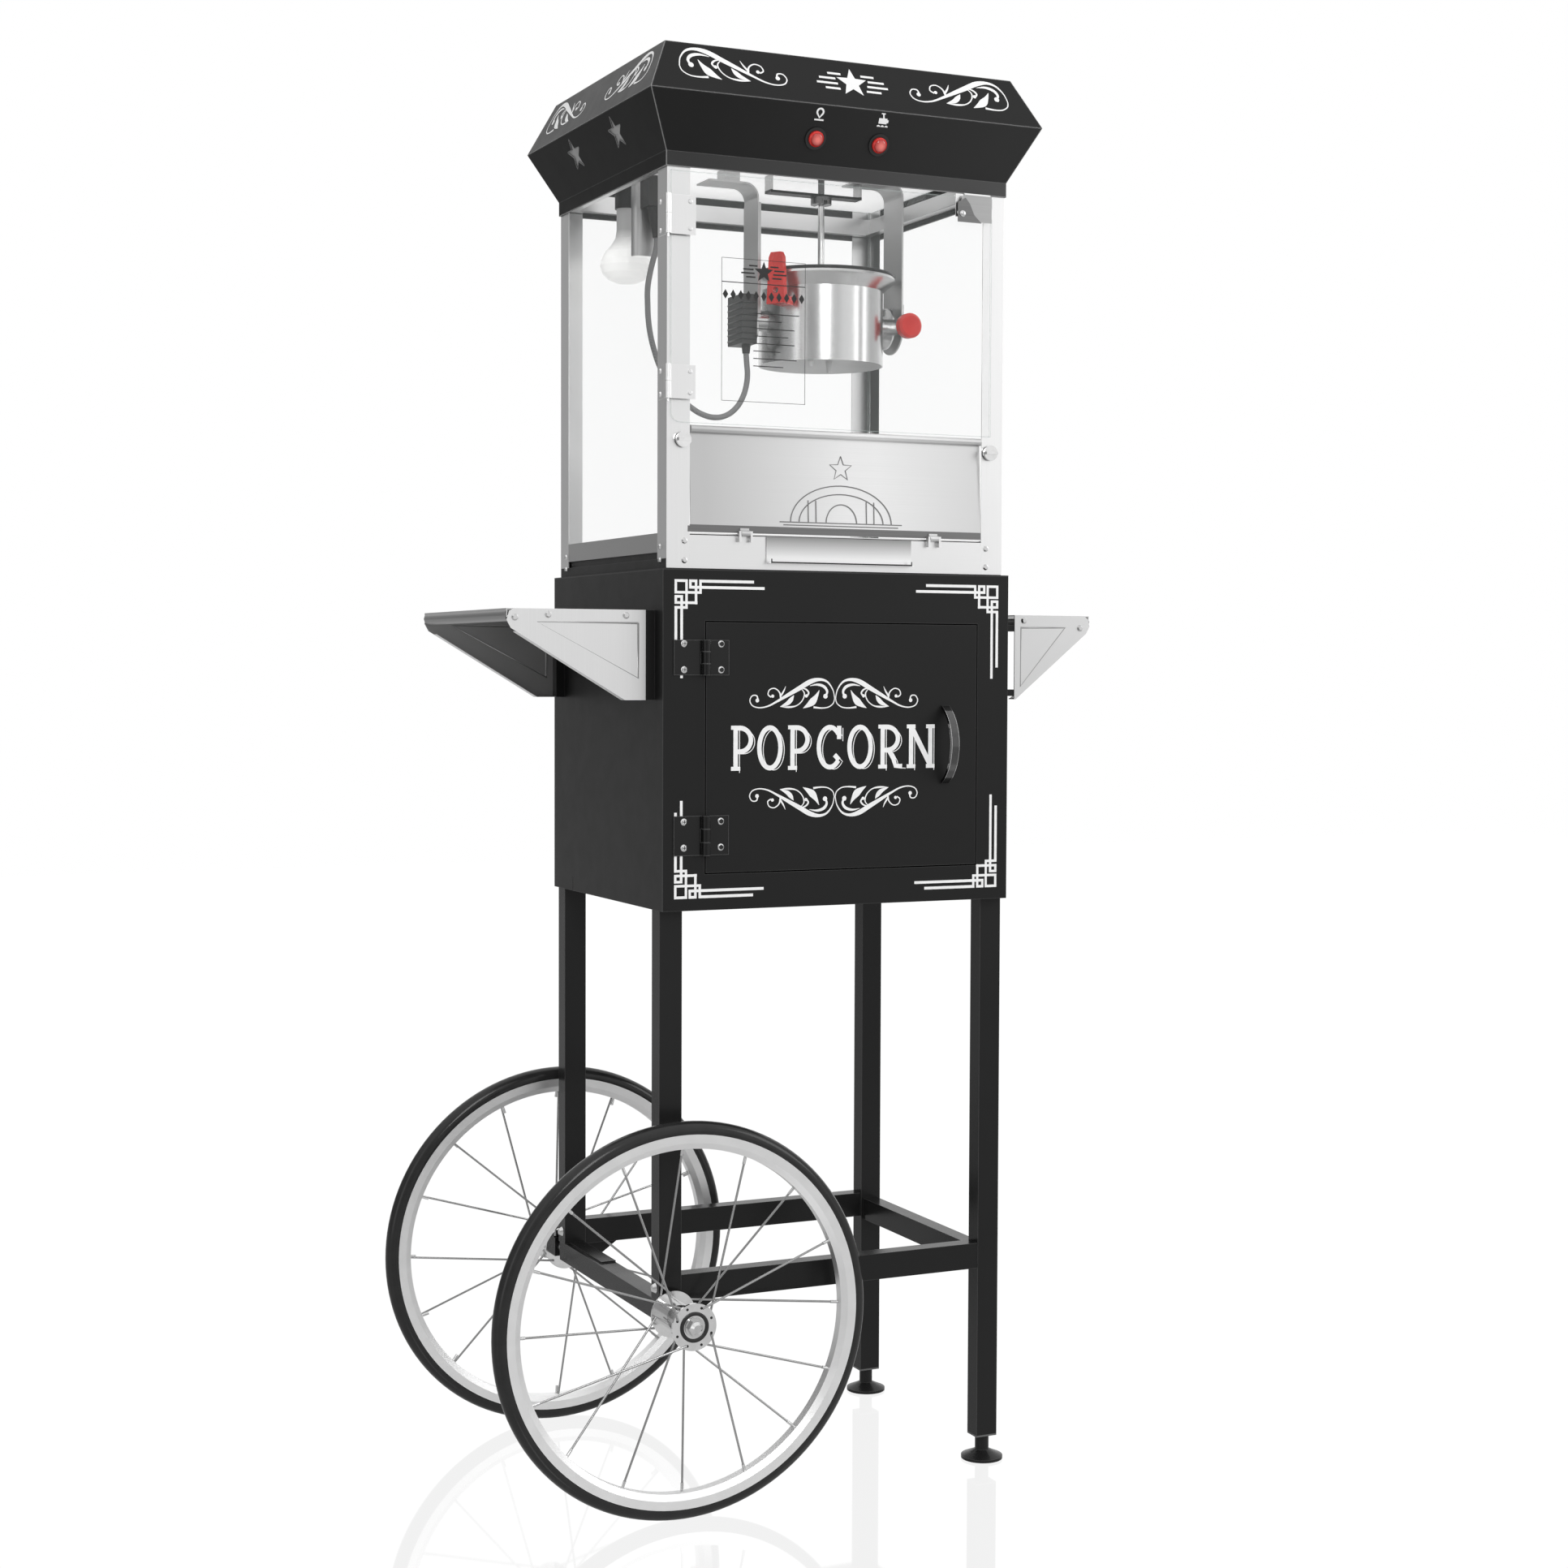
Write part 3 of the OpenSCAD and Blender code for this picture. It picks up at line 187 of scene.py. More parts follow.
class Shader(Tree):
    """A finish, kept in FINISHES under its name, with short calls for what finishes share."""

    def __init__(self, name):
        FINISHES[name] = bpy.data.materials.new(name)
        super().__init__(FINISHES[name])
        self.surface = self.node("ShaderNodeBsdfPrincipled")
        output = self.node("ShaderNodeOutputMaterial")
        self.link(self.surface.outputs[0], output.inputs["Surface"])
        self.place = self.node("ShaderNodeTexCoord").outputs["Object"]

    def set(self, **values):
        for key, value in values.items():
            self.surface.inputs[key.replace("_", " ")].default_value = value

    def noise(self, scale, detail=2.0, stretch=(1, 1, 1)):
        mapping = self.node("ShaderNodeMapping")
        mapping.inputs["Scale"].default_value = stretch
        self.link(self.place, mapping.inputs["Vector"])
        noise = self.node("ShaderNodeTexNoise")
        noise.inputs["Scale"].default_value = scale
        noise.inputs["Detail"].default_value = detail
        self.link(mapping.outputs[0], noise.inputs["Vector"])
        return noise.outputs["Fac"]

    def colour(self, socket):
        self.link(socket, self.surface.inputs["Base Color"])

    def roughness(self, socket):
        self.link(socket, self.surface.inputs["Roughness"])

    def bump(self, height, strength, depth):
        bump = self.node("ShaderNodeBump")
        bump.inputs["Strength"].default_value = strength
        bump.inputs["Distance"].default_value = depth
        self.link(height, bump.inputs["Height"])
        self.link(bump.outputs[0], self.surface.inputs["Normal"])

    def math(self, operation, first, second):
        made = self.node("ShaderNodeMath", operation=operation)
        for socket, value in zip(made.inputs, (first, second)):
            if isinstance(value, (int, float)):
                socket.default_value = value
            else:
                self.link(value, socket)
        return made.outputs[0]

    def within(self, low, high):
        """1 inside the box between two points, and 0 outside it."""
        found = None
        for out, a, b in zip(self.parts(self.place), low, high):
            both = self.math("MULTIPLY", self.math("GREATER_THAN", out, a),
                             self.math("LESS_THAN", out, b))
            found = both if found is None else self.math("MULTIPLY", found, both)
        return found

    def facing(self, axis, limit):
        """1 on faces whose normal has a part below limit along the axis: 0 is X, and 1 is Y."""
        normal = self.node("ShaderNodeNewGeometry").outputs["Normal"]
        return self.math("LESS_THAN", self.parts(normal)[axis], limit)

    def height(self, low, high):
        """0 at the level low and 1 at the level high."""
        return self.spread(self.parts(self.place)[2], 0, 1, low, high)

    def edges(self, radius, sharp=0.985, soft=0.86):
        """1 along the edges of a piece within radius, and 0 on its faces."""
        rounded = self.node("ShaderNodeBevel", samples=6)
        rounded.inputs["Radius"].default_value = radius
        straight = self.node("ShaderNodeNewGeometry").outputs["Normal"]
        turned = self.node("ShaderNodeVectorMath", operation="DOT_PRODUCT")
        self.link(rounded.outputs[0], turned.inputs[0])
        self.link(straight, turned.inputs[1])
        return self.spread(turned.outputs["Value"], 0, 1, sharp, soft)


# How much of its sheen a part in painted shade keeps
SHADED_SHEEN_SHARE = 0.35


def powder_coat(name, dark, light, gloss, edge, wear_and_highlight=1.3 * MM, shine=0.32, patch=None, shaded_sheen=None):
    """Sprayed satin enamel: fine orange peel, faint clouding and paler edges: wear, and on the canopy
    a painted highlight. patch gives the share and tone of painted light on part of it, and the last
    argument the share of a part whose sheen is turned down as painted shade."""
    s = Shader(name)
    clouds = s.spread(s.noise(5, 3), 0, 1, 0.35, 0.65)
    film = s.blend(clouds, dark, light)
    if patch:
        share, painted = patch(s)
        film = s.blend(share, film, painted)
    s.colour(s.blend(s.edges(wear_and_highlight), film, edge))
    s.roughness(s.spread(s.noise(40, 3), gloss - 0.02, gloss + 0.02))
    s.bump(s.noise(700, 2), 0.06, 0.2 * MM)
    s.set(Specular_IOR_Level=shine)
    if shaded_sheen:
        level = s.spread(shaded_sheen(s), shine, shine * SHADED_SHEEN_SHARE, 0, 1)
        s.link(level, s.surface.inputs["Specular IOR Level"])


def steel(name, dark, light, rough, stretch, grain=0.004, edge=None, patch=None):
    """Rolled or drawn steel, its grain along the axis for which stretch is small. edge is the
    tone of its edges: wear, and on the door handle a painted highlight. patch gives the share
    and tone of a part in another tone: black paint on the stirrer's strap, painted shade elsewhere."""
    s = Shader(name)
    lines = s.noise(1, 3, stretch)
    tone = s.blend(s.spread(lines, 0, 1), dark, light)
    stained = s.blend(s.spread(s.noise(7, 3), 0, 0.5), tone, tuple(c * 0.94 for c in light))
    wear_and_painted_light = s.blend(s.edges(1.1 * MM), stained, edge or tuple(min(c * 1.12, 0.97) for c in light))
    if patch:
        share, painted = patch(s)
        wear_and_painted_light = s.blend(share, wear_and_painted_light, painted)
    s.set(Metallic=1.0)
    s.colour(wear_and_painted_light)
    s.roughness(s.spread(lines, rough - 0.015, rough + 0.015))
    s.bump(lines, grain, 0.1 * MM)


# Where the strap's black paint lies, and where the painted shade and light below fall
STRAP_LOW, STRAP_HIGH = at(-14, -8, 1553), at(118, 18, 1560.4)
DRAWER_PAINTED_SHADOW = (1100 * MM, 1132 * MM)
FLAP_MIDDLE_X = 30
FLAP_SHADE_START, FLAP_SHADE_FULL = 20 * MM, 200 * MM
REAR_Y, RIGHT_X = 100 * MM, 200 * MM
CANOPY_LEFT_X, CANOPY_RIGHT_X = -150 * MM, 250 * MM


def strap_patch(s):
    """The stirrer's strap, black among the bright brackets."""
    return s.within(STRAP_LOW, STRAP_HIGH), grey(0.012)


def drawer_painted_shadow(s):
    """Painted shadow on the crumb drawer's front, darker toward its top, under the flap."""
    return s.height(*DRAWER_PAINTED_SHADOW), grey(0.11)


def flap_painted_shade(s):
    """Painted shade on the flap's face, darker toward its ends."""
    middle = MIDDLE.x + FLAP_MIDDLE_X * MM
    away = s.math("ABSOLUTE", s.math("SUBTRACT", s.parts(s.place)[0], middle), 0)
    return s.spread(away, 0, 1, FLAP_SHADE_START, FLAP_SHADE_FULL), grey(0.56)


def shelf_painted_shade(s):
    """Painted shade on the rear brackets' inner faces and on the right brackets, each a darker tone.
    """
    rear = s.math("MULTIPLY", s.facing(1, -0.4), s.math("GREATER_THAN", s.parts(s.place)[1], REAR_Y))
    right = s.math("GREATER_THAN", s.parts(s.place)[0], RIGHT_X)
    return s.math("MAXIMUM", rear, right), s.blend(rear, grey(0.64), grey(0.54))


def facing_left(s):
    """1 on faces that look to the left."""
    return s.facing(0, -0.5)


def skirt_painted_light(s):
    """Painted light on the canopy's skirt, lighter toward its right, and on the right end of the slope
    above it.
    """
    x, z = (s.parts(s.place)[i] for i in (0, 2))
    skirt = s.math("LESS_THAN", z, PROFILE["skirt"][2])
    across = s.spread(x, 0, 1, CANOPY_LEFT_X, CANOPY_RIGHT_X)
    slope_end = s.math("MULTIPLY", s.math("LESS_THAN", z, PROFILE["ridge"][2]), across)
    share = s.math("MULTIPLY", s.math("MAXIMUM", skirt, slope_end),
                   s.math("SUBTRACT", 1, facing_left(s)))
    return share, s.blend(skirt, grey(0.024), s.blend(across, grey(0.03), grey(0.06)))


def lower_left(s):
    """The canopy's left faces below its ridge, whose sheen is turned down as painted shade."""
    below = s.math("LESS_THAN", s.parts(s.place)[2], PROFILE["ridge"][2])
    return s.math("MULTIPLY", below, facing_left(s))


def rail_painted_shade(s):
    """Painted shade on the rails' left faces."""
    return facing_left(s), grey(0.52)


def plating(name, tone, rough):
    """Chrome or nickel: near mirror, with a faint haze and wipe marks."""
    s = Shader(name)
    haze = s.noise(90, 3)
    s.colour(s.blend(s.spread(haze, 0, 1), tuple(c * 0.9 for c in tone), tone))
    s.roughness(s.spread(s.noise(25, 4, (1, 1, 4)), rough * 0.6, rough * 1.5))
    s.bump(haze, 0.03, 0.05 * MM)
    s.set(Metallic=1.0)


def plastic(name, dark, light, rough, grain=0.08, painted_glow=0.0):
    """Moulded plastic or enamel with a fine grain, and a glow of painted light of the strength given.
    """
    s = Shader(name)
    s.set(Emission_Color=(1, 1, 1, 1), Emission_Strength=painted_glow)
    s.colour(s.blend(s.spread(s.noise(30, 3), 0, 1), dark, light))
    s.roughness(s.spread(s.noise(60, 2), rough - 0.05, rough + 0.07))
    s.bump(s.noise(500, 2), grain, 0.1 * MM)


def clear_sheet(name):
    """A clear pane: nearly nothing on its faces, grey-green at its edges."""
    s = Shader(name)
    edge = s.edges(2.2 * MM, 0.95, 0.75)
    s.colour(s.blend(edge, (0.86, 0.9, 0.89), (0.33, 0.4, 0.38)))
    s.link(s.spread(edge, 0.03, 0.62, 0, 1), s.surface.inputs["Alpha"])
    s.roughness(s.spread(s.noise(14, 3), 0.01, 0.05))


NECK = (0.35, 0.6)  # where the lamp's neck begins and is whole, as shares of its height
# The strength of the painted glow on the lamp's glass, and at its neck
LAMP_GLOW, NECK_GLOW = 0.34, 0.08


def frosted(name):
    """The lamp's pearl glass, with a faint glow of painted light, greyer at its neck, where the glow
    is dimmer.
    """
    s = Shader(name)
    pearl = s.blend(s.spread(s.noise(200, 2), 0, 1), (0.86, 0.86, 0.84), (0.96, 0.96, 0.94))
    low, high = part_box("lamp_bulb")
    neck = s.height(*(low.z + (high.z - low.z) * share for share in NECK))
    s.colour(s.blend(neck, pearl, grey(0.4)))
    s.set(Emission_Color=(1, 1, 1, 1))
    s.link(s.spread(neck, LAMP_GLOW, NECK_GLOW, 0, 1), s.surface.inputs["Emission Strength"])
    s.roughness(s.spread(s.noise(60, 2), 0.3, 0.45))
    s.set(Coat_Weight=0.4, Coat_Roughness=0.08)


def rubber(name):
    """Smooth black tyre rubber with a low sheen."""
    s = Shader(name)
    s.colour(s.blend(s.spread(s.noise(60, 4), 0, 1), *grey(0.018, 0.023)))
    s.roughness(s.spread(s.noise(30, 3), 0.14, 0.2))
    s.bump(s.noise(900, 2), 0.03, 0.15 * MM)
    s.set(Specular_IOR_Level=0.3)


def sleeve(name):
    """Ribbed grey cord covering."""
    s = Shader(name)
    wave = s.node("ShaderNodeTexWave", wave_type="BANDS", bands_direction="DIAGONAL")
    wave.inputs["Scale"].default_value = 260
    wave.inputs["Distortion"].default_value = 0.4
    s.link(s.place, wave.inputs["Vector"])
    s.colour(s.blend(wave.outputs["Fac"], (0.16, 0.16, 0.165), (0.3, 0.3, 0.3)))
    s.roughness(s.spread(s.noise(80, 2), 0.5, 0.65))
    s.bump(wave.outputs["Fac"], 0.3, 0.3 * MM)


def paint(name, dark, light):
    """Screen-printed ink with a slightly uneven film."""
    s = Shader(name)
    s.colour(s.blend(s.spread(s.noise(150, 3), 0, 1), dark, light))
    s.roughness(s.spread(s.noise(300, 2), 0.4, 0.55))
    s.bump(s.noise(900, 2), 0.05, 0.1 * MM)


def button_cap(name, middle):
    """A glossy red cap, with a painted glow that makes it paler toward its middle."""
    s = Shader(name)
    away = s.node("ShaderNodeVectorMath", operation="DISTANCE")
    away.inputs[1].default_value = middle
    s.link(s.place, away.inputs[0])
    painted_glow = s.spread(away.outputs["Value"], 1, 0, 2 * MM, 7.5 * MM)
    s.colour(s.blend(painted_glow, (0.42, 0.02, 0.018), (0.86, 0.2, 0.17)))
    s.roughness(s.spread(s.noise(60, 2), 0.12, 0.2))
    s.set(Coat_Weight=0.5, Coat_Roughness=0.05)


def grey(low, high=None):
    """One or two neutral tones for a finish."""
    return (low, low, low) if high is None else ((low,) * 3, (high,) * 3)


# How the grain of steel is stretched
ALONG_X = (6, 1400, 1400)
ALONG_Y = (1400, 6, 1400)
ALONG_Z = (1400, 1400, 6)
ROUND_Z = (30, 30, 1400)
EVEN = (60, 60, 60)

powder_coat("black_panels", *grey(0.0068, 0.0078), 0.42, grey(0.055), shine=0.24)
# The canopy: painted light on its skirt, a painted highlight on its edges, and sheen turned down as
# painted shade on its lower left faces
powder_coat("black_canopy", *grey(0.0085, 0.0095), 0.4, grey(0.34), wear_and_highlight=2.4 * MM, shine=0.2,
            patch=skirt_painted_light, shaded_sheen=lower_left)
powder_coat("black_tubes", *grey(0.011, 0.013), 0.24, grey(0.07), shine=0.22)
powder_coat("black_flags", *grey(0.004, 0.006), 0.24, grey(0.12))
steel("tray_steel", *grey(0.6, 0.64), 0.34, ALONG_Y)
# The trays' rolled edges, in a darker copy of the tray steel as painted shade
steel("lip_steel", *grey(0.22, 0.26), 0.3, ALONG_Y, edge=grey(0.18))
steel("flap_steel", *grey(0.8, 0.84), 0.34, ALONG_X, patch=flap_painted_shade)
steel("screen_steel", *grey(0.7, 0.76), 0.34, ALONG_X)
# The ceiling panel gives off a painted glow, though it is no lamp
plastic("ceiling_white", *grey(0.93, 0.96), 0.3, grain=0.01, painted_glow=0.55)
steel("tab_steel", *grey(0.36, 0.4), 0.34, ALONG_X)
steel("post_steel", *grey(0.82, 0.86), 0.3, ALONG_Z)
steel("rail_steel", *grey(0.83, 0.85), 0.3, ALONG_X, grain=0.0008, patch=rail_painted_shade)
steel("drawer_steel", *grey(0.93, 0.95), 0.3, ALONG_X, patch=drawer_painted_shadow)
steel("pot_steel", *grey(0.66, 0.7), 0.24, ROUND_Z, grain=0.002)
steel("dark_steel", *grey(0.1, 0.14), 0.3, ALONG_X, edge=grey(0.3))
steel("strip_steel", *grey(0.16, 0.2), 0.34, ALONG_X, edge=grey(0.25))
steel("shelf_steel", *grey(0.77, 0.8), 0.4, ALONG_Z, grain=0.002, patch=shelf_painted_shade)
steel("bracket_steel", *grey(0.5, 0.54), 0.42, ALONG_Z, patch=strap_patch)
powder_coat("lid_black", *grey(0.007, 0.01), 0.3, grey(0.07))
plating("bright_steel", grey(0.7), 0.16)
plating("chrome", grey(0.86), 0.07)
# The door handle: chrome painted dark as a painted reflection, with a painted highlight along its
# edges
steel("bow_chrome", *grey(0.09, 0.12), 0.12, ALONG_Z, grain=0.005, edge=grey(0.95))
steel("satin_rim", *grey(0.88, 0.92), 0.42, EVEN)
plating("spoke_wire", grey(0.4), 0.2)
clear_sheet("clear_sheet")
frosted("frosted_glass")
plastic("white_lens", *grey(0.3, 0.35), 0.3)
plastic("white_pan", *grey(0.54, 0.6), 0.4)
plastic("red_plastic", (0.55, 0.012, 0.01), (0.72, 0.03, 0.022), 0.22, grain=0.02)
plastic("black_plastic", *grey(0.009, 0.014), 0.36)
plastic("dark_plastic", *grey(0.022, 0.035), 0.45)
plastic("grey_plastic", *grey(0.09, 0.13), 0.5)
sleeve("cord_sleeve")
rubber("black_rubber")
paint("white_ink", *grey(0.86, 0.93))
paint("black_ink", *grey(0.006, 0.012))

WHEELS = ("wheel_front", "wheel_rear")
NODE_FINISH = {
    "black_panels": ["cabinet_front", "cabinet_back", "cabinet_sides", "cabinet_decks",
                     "door_panel", "popper_base", "shelf_wall_mounts"],
    "black_flags": ["door_hinge_leaves", "door_hinge_flags"],
    "black_canopy": ["canopy"],
    "black_tubes": ["legs", "stretchers", "axle_beam", "foot_front", "foot_rear"],
    "tray_steel": ["shelf_trays"],
    "shelf_steel": ["shelf_brackets"],
    "bracket_steel": ["ceiling_brackets"],
    "ceiling_white": ["ceiling_panel"],
    "flap_steel": ["serving_flap"],
    "screen_steel": ["crumb_screen"],
    "post_steel": ["corner_posts", "glass_hinge_leaves", "glass_door_hardware"],
    "rail_steel": ["popper_rails"],
    "drawer_steel": ["crumb_drawer"],
    "pot_steel": ["kettle_pot"],
    "lid_black": ["kettle_lid_rear", "kettle_lid_front"],
    "dark_steel": ["drive_shaft"],
    "bright_steel": ["axle", "fasteners", "stirrer", "kettle_latch"],
    "bow_chrome": ["door_handle"],
    "chrome": ["flap_catch_left", "flap_catch_right", *(f"{w}_hub" for w in WHEELS)],
    "spoke_wire": [f"{w}_spokes" for w in WHEELS],
    "satin_rim": [f"{w}_rim" for w in WHEELS],
    "clear_sheet": ["fixed_glass", "glass_door_pane"],
    "frosted_glass": ["lamp_bulb"],
    "white_lens": ["star_lenses"],
    "white_pan": ["kettle_base"],
    "red_plastic": ["light_button", "kettle_button", "kettle_grip", "dump_knob"],
    "black_plastic": ["button_bezels", "lamp_socket"],
    "dark_plastic": ["lead_plugs"],
    "grey_plastic": ["foot_bushes", "stir_motor"],
    "black_rubber": [f"{w}_tyre" for w in WHEELS],
}


def finish_piece(obj, finish):
    obj.data.materials.clear()
    obj.data.materials.append(FINISHES[finish])


def add_piece(name, data, body, finish):
    obj = add(name, data)
    finish_piece(obj, finish)
    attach(obj, body)


for finish, nodes in NODE_FINISH.items():
    for node in nodes:
        finish_piece(NODES[node], finish)
finish_piece(lead, "cord_sleeve")


# ---------------- shapes for printing and pressing
class Plane:
    """A flat face of the object. Points on it are millimetres across and up from its origin."""

    def __init__(self, origin, across, up):
        self.origin, self.across, self.up = origin, across.normalized(), up.normalized()
        self.out = self.across.cross(self.up)

    def point(self, a, b, height=0.0):
        return self.origin + (self.across * a + self.up * b + self.out * height) * MM

    def level(self, z):
        """How far up the plane the height z above the floor is."""
        return (z - self.origin.z / MM) / self.up.z


STEPS, STEP = 23, 0.006


class Sheet:
    """Thin closed solids gathered into one mesh on one plane."""

    def __init__(self, plane, thick, sunk=0.05):
        self.plane, self.thick, self.sunk = plane, thick, sunk
        self.points, self.faces = [], []
        self.made = 0

    def next_top(self):
        """Each shape ends a hair above the last, so that crossing shapes share no face."""
        self.made += 1
        return self.thick + self.made % STEPS * STEP

    def outline(self, corners):
        """A plate with this outline, its corners going round anticlockwise."""
        count, first = len(corners), len(self.points)
        for height in (-self.sunk, self.next_top()):
            self.points += [self.plane.point(a, b, height) for a, b in corners]
        low = list(range(first, first + count))
        high = [i + count for i in low]
        self.faces += [low[::-1], high]
        self.faces += [(low[i], low[(i + 1) % count], high[(i + 1) % count], high[i])
                       for i in range(count)]

    def bar(self, a0, b0, a1, b1):
        self.outline([(a0, b0), (a1, b0), (a1, b1), (a0, b1)])

    def disc(self, a, b, radius, sides=20):
        turns = [2 * math.pi * i / sides for i in range(sides)]
        self.outline([(a + radius * math.cos(t), b + radius * math.sin(t)) for t in turns])

    def stroke(self, line, widths, steps=6):
        """A smooth line through the points given, its width running through the widths given."""
        smooth, wide = curve_through(line, steps), curve_through([(w,) for w in widths], steps)
        left, right = [], []
        for i, (a, b) in enumerate(smooth):
            before, after = smooth[max(i - 1, 0)], smooth[min(i + 1, len(smooth) - 1)]
            da, db = after[0] - before[0], after[1] - before[1]
            length = math.hypot(da, db) or 1
            share = i / (len(smooth) - 1) * (len(wide) - 1)
            half = max(wide[round(share)][0], 0.1) / 2
            left.append((a - db / length * half, b + da / length * half))
            right.append((a + db / length * half, b - da / length * half))
        self.strip(left, right)

    def strip(self, left, right):
        """A closed ribbon between two lines of the same number of points."""
        first, count = len(self.points), len(left)
        for height in (-self.sunk, self.next_top()):
            for line in (left, right):
                self.points += [self.plane.point(a, b, height) for a, b in line]
        ll, lr, hl, hr = (first + k * count for k in range(4))
        for i in range(count - 1):
            j = i + 1
            self.faces += [(hl + i, hr + i, hr + j, hl + j), (ll + i, ll + j, lr + j, lr + i),
                           (ll + i, hl + i, hl + j, ll + j), (lr + i, lr + j, hr + j, hr + i)]
        e = count - 1
        self.faces += [(ll, lr, hr, hl), (ll + e, hl + e, hr + e, lr + e)]

    def make(self, name, body, finish):
        mesh = bpy.data.meshes.new(name)
        mesh.from_pydata([tuple(p) for p in self.points], [], self.faces)
        mesh.validate()
        add_piece(name, mesh, body, finish)


def curve_through(points, steps):
    """Catmull-Rom curve through points of any number of coordinates."""
    made = []
    last = len(points) - 1
    for i in range(last):
        p0, p1, p2, p3 = (points[min(max(k, 0), last)] for k in (i - 1, i, i + 1, i + 2))
        for step in range(steps):
            t = step / steps
            made.append(tuple(
                0.5 * (2 * b + (c - a) * t + (2 * a - 5 * b + 4 * c - d) * t ** 2
                       + (3 * b - a - 3 * c + d) * t ** 3)
                for a, b, c, d in zip(p0, p1, p2, p3)))
    return made + [tuple(points[-1])]


X, Y, Z = Vector((1, 0, 0)), Vector((0, 1, 0)), Vector((0, 0, 1))
BEFORE_FRONT = -900
LEAN_X = 100


def front_plane(node):
    """The front face of a node, with its origin at the cabinet's middle and the floor."""
    return Plane(Vector((MIDDLE.x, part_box(node)[0].y, 0)), X, Z)


def front_of(node, x, z):
    """The point of a node that a line running back from the front at x and z meets first."""
    mesh = NODES[node].data
    tree = BVHTree.FromPolygons([v.co for v in mesh.vertices], [p.vertices for p in mesh.polygons])
    return tree.ray_cast(at(x, BEFORE_FRONT, z), Y)[0]


def leaning_plane(node, low, high):
    """The front face of a leaning node, through its surface at two heights."""
    foot, head = front_of(node, LEAN_X, low), front_of(node, LEAN_X, high)
    return Plane(Vector((MIDDLE.x, foot.y, foot.z)), X, head - foot)


# ---------------- printing on the cabinet
INK = 0.2
FRET_START = (211.5, 1072.8)
FRET_FOOT = 707.6
FRET_BARS = [  # from the outer corner, along one edge and in from it; the other edge mirrors them
    (0, 0, 15.8, 3), (0, 13.3, 33.5, 16.2), (18, 0, 28, 3), (18, 3, 21, 7.2), (25, 3, 28, 28.2),
    (30.5, 3, 33.5, 13.3), (18, 7.2, 112.5, 10.4), (30.5, 0, 99, 3.3)]


def fret_corners():
    sheet = Sheet(front_plane("cabinet_front"), INK)
    x0, z0 = FRET_START
    for side in (-1, 1):
        for level, turn in ((z0, -1), (FRET_FOOT, 1)):
            for a0, b0, a1, b1 in FRET_BARS:
                for along, into in (((a0, a1), (b0, b1)), ((b0, b1), (a0, a1))):
                    xs = sorted(side * (x0 - a) for a in along)
                    zs = sorted(level + turn * b for b in into)
                    sheet.bar(xs[0], zs[0], xs[1], zs[1])
    sheet.make("fret_corners", "root", "white_ink")


# One half of the scrollwork: lines as (points, widths), and round ends as (across, up, radius)
SCROLL_LINES = [
    ([(0.6, 12), (3, 22), (10, 31), (20, 34), (32, 31.5), (46, 24), (60, 16.5), (74, 9), (86, 3.2),
      (97, 1.2), (106, 3.4), (109.6, 9.4), (106.6, 15), (101, 15), (99.4, 10.4)],
     [1.1, 1.3, 2.2, 3.4, 5.6, 5.4, 4.2, 2.6, 1.8, 1.4, 1.3, 1.3, 1.3, 1.5, 1.8]),
    ([(0.6, 12), (2.5, 6), (9, 1.6), (18, 0.6), (28, 1.6)], [1.1, 1.2, 1.3, 1.6, 2.4]),
    ([(20.5, 21.5), (24, 15), (29, 8.4), (35, 4), (41.5, 0.4)], [0.4, 4.2, 8.4, 5, 0.2]),
    ([(33, 26.5), (23, 28), (14.5, 25.6), (10.4, 20), (12.2, 14.6)], [0.4, 2.6, 3.4, 2.8, 2.2]),
    ([(45.5, 24.5), (40, 18), (42.5, 9.5), (50, 3.5), (60, 1.8), (71, 2.4)],
     [0.6, 1.4, 1.3, 1.3, 2.2, 0.4]),
    ([(53.5, 15.5), (57, 10.5), (62, 6), (71, 2.4)], [0.4, 5, 4.6, 0.2]),
    ([(44, 24), (38, 22.5), (34.4, 18.5), (36.4, 14.8)], [0.5, 1.8, 2, 1.8]),
    ([(64, 26), (66.5, 20.5), (71, 14)], [0.3, 1.7, 2.4]),
    ([(70, 11), (72, 19), (78, 23.5), (84.5, 22), (86.5, 16.5), (82.5, 13.4)],
     [2.4, 1.6, 1.3, 1.3, 1.4, 1.6]),
]
SCROLL_ENDS = [(12.6, 14.4, 2.8), (100.2, 9.6, 2.3), (80.6, 14.6, 1.9), (37.4, 14.8, 1.9)]
SCROLL_LONG, SCROLL_TALL = 111.0, 35.0


def scroll(sheet, start, base, long, tall):
    """Half a scroll from its round end at start. long is below 0 where it runs to the left, and
    tall is below 0 where it hangs down."""
    sa, sb = long / SCROLL_LONG, tall / SCROLL_TALL
    size = math.sqrt(abs(sa * sb))
    for line, widths in SCROLL_LINES:
        sheet.stroke([(start + a * sa, base + b * sb) for a, b in line],
                     [w * size for w in widths])
    for a, b, radius in SCROLL_ENDS:
        sheet.disc(start + a * sa, base + b * sb, radius * size)


SCROLL_MIDDLE = -7.6
DOOR_SCROLLS = [(925, 35), (833.5, -35)]


def door_scrolls():
    sheet = Sheet(front_plane("door_panel"), INK)
    for base, tall in DOOR_SCROLLS:
        for side in (-1, 1):
            scroll(sheet, SCROLL_MIDDLE, base, side * SCROLL_LONG, tall)
    sheet.make("door_scrollwork", "cabinet_door", "white_ink")


# The letters: a plain slab alphabet. Each stroke is a list of points from its foot, in a cell
# as tall as LETTER_TALL.
LETTER_TALL = 52.0
LETTER_BASE = 853.6
STEM, SLAB = 5.6, 4.6
SHADOW = (4.9, -2.4, 0.9)


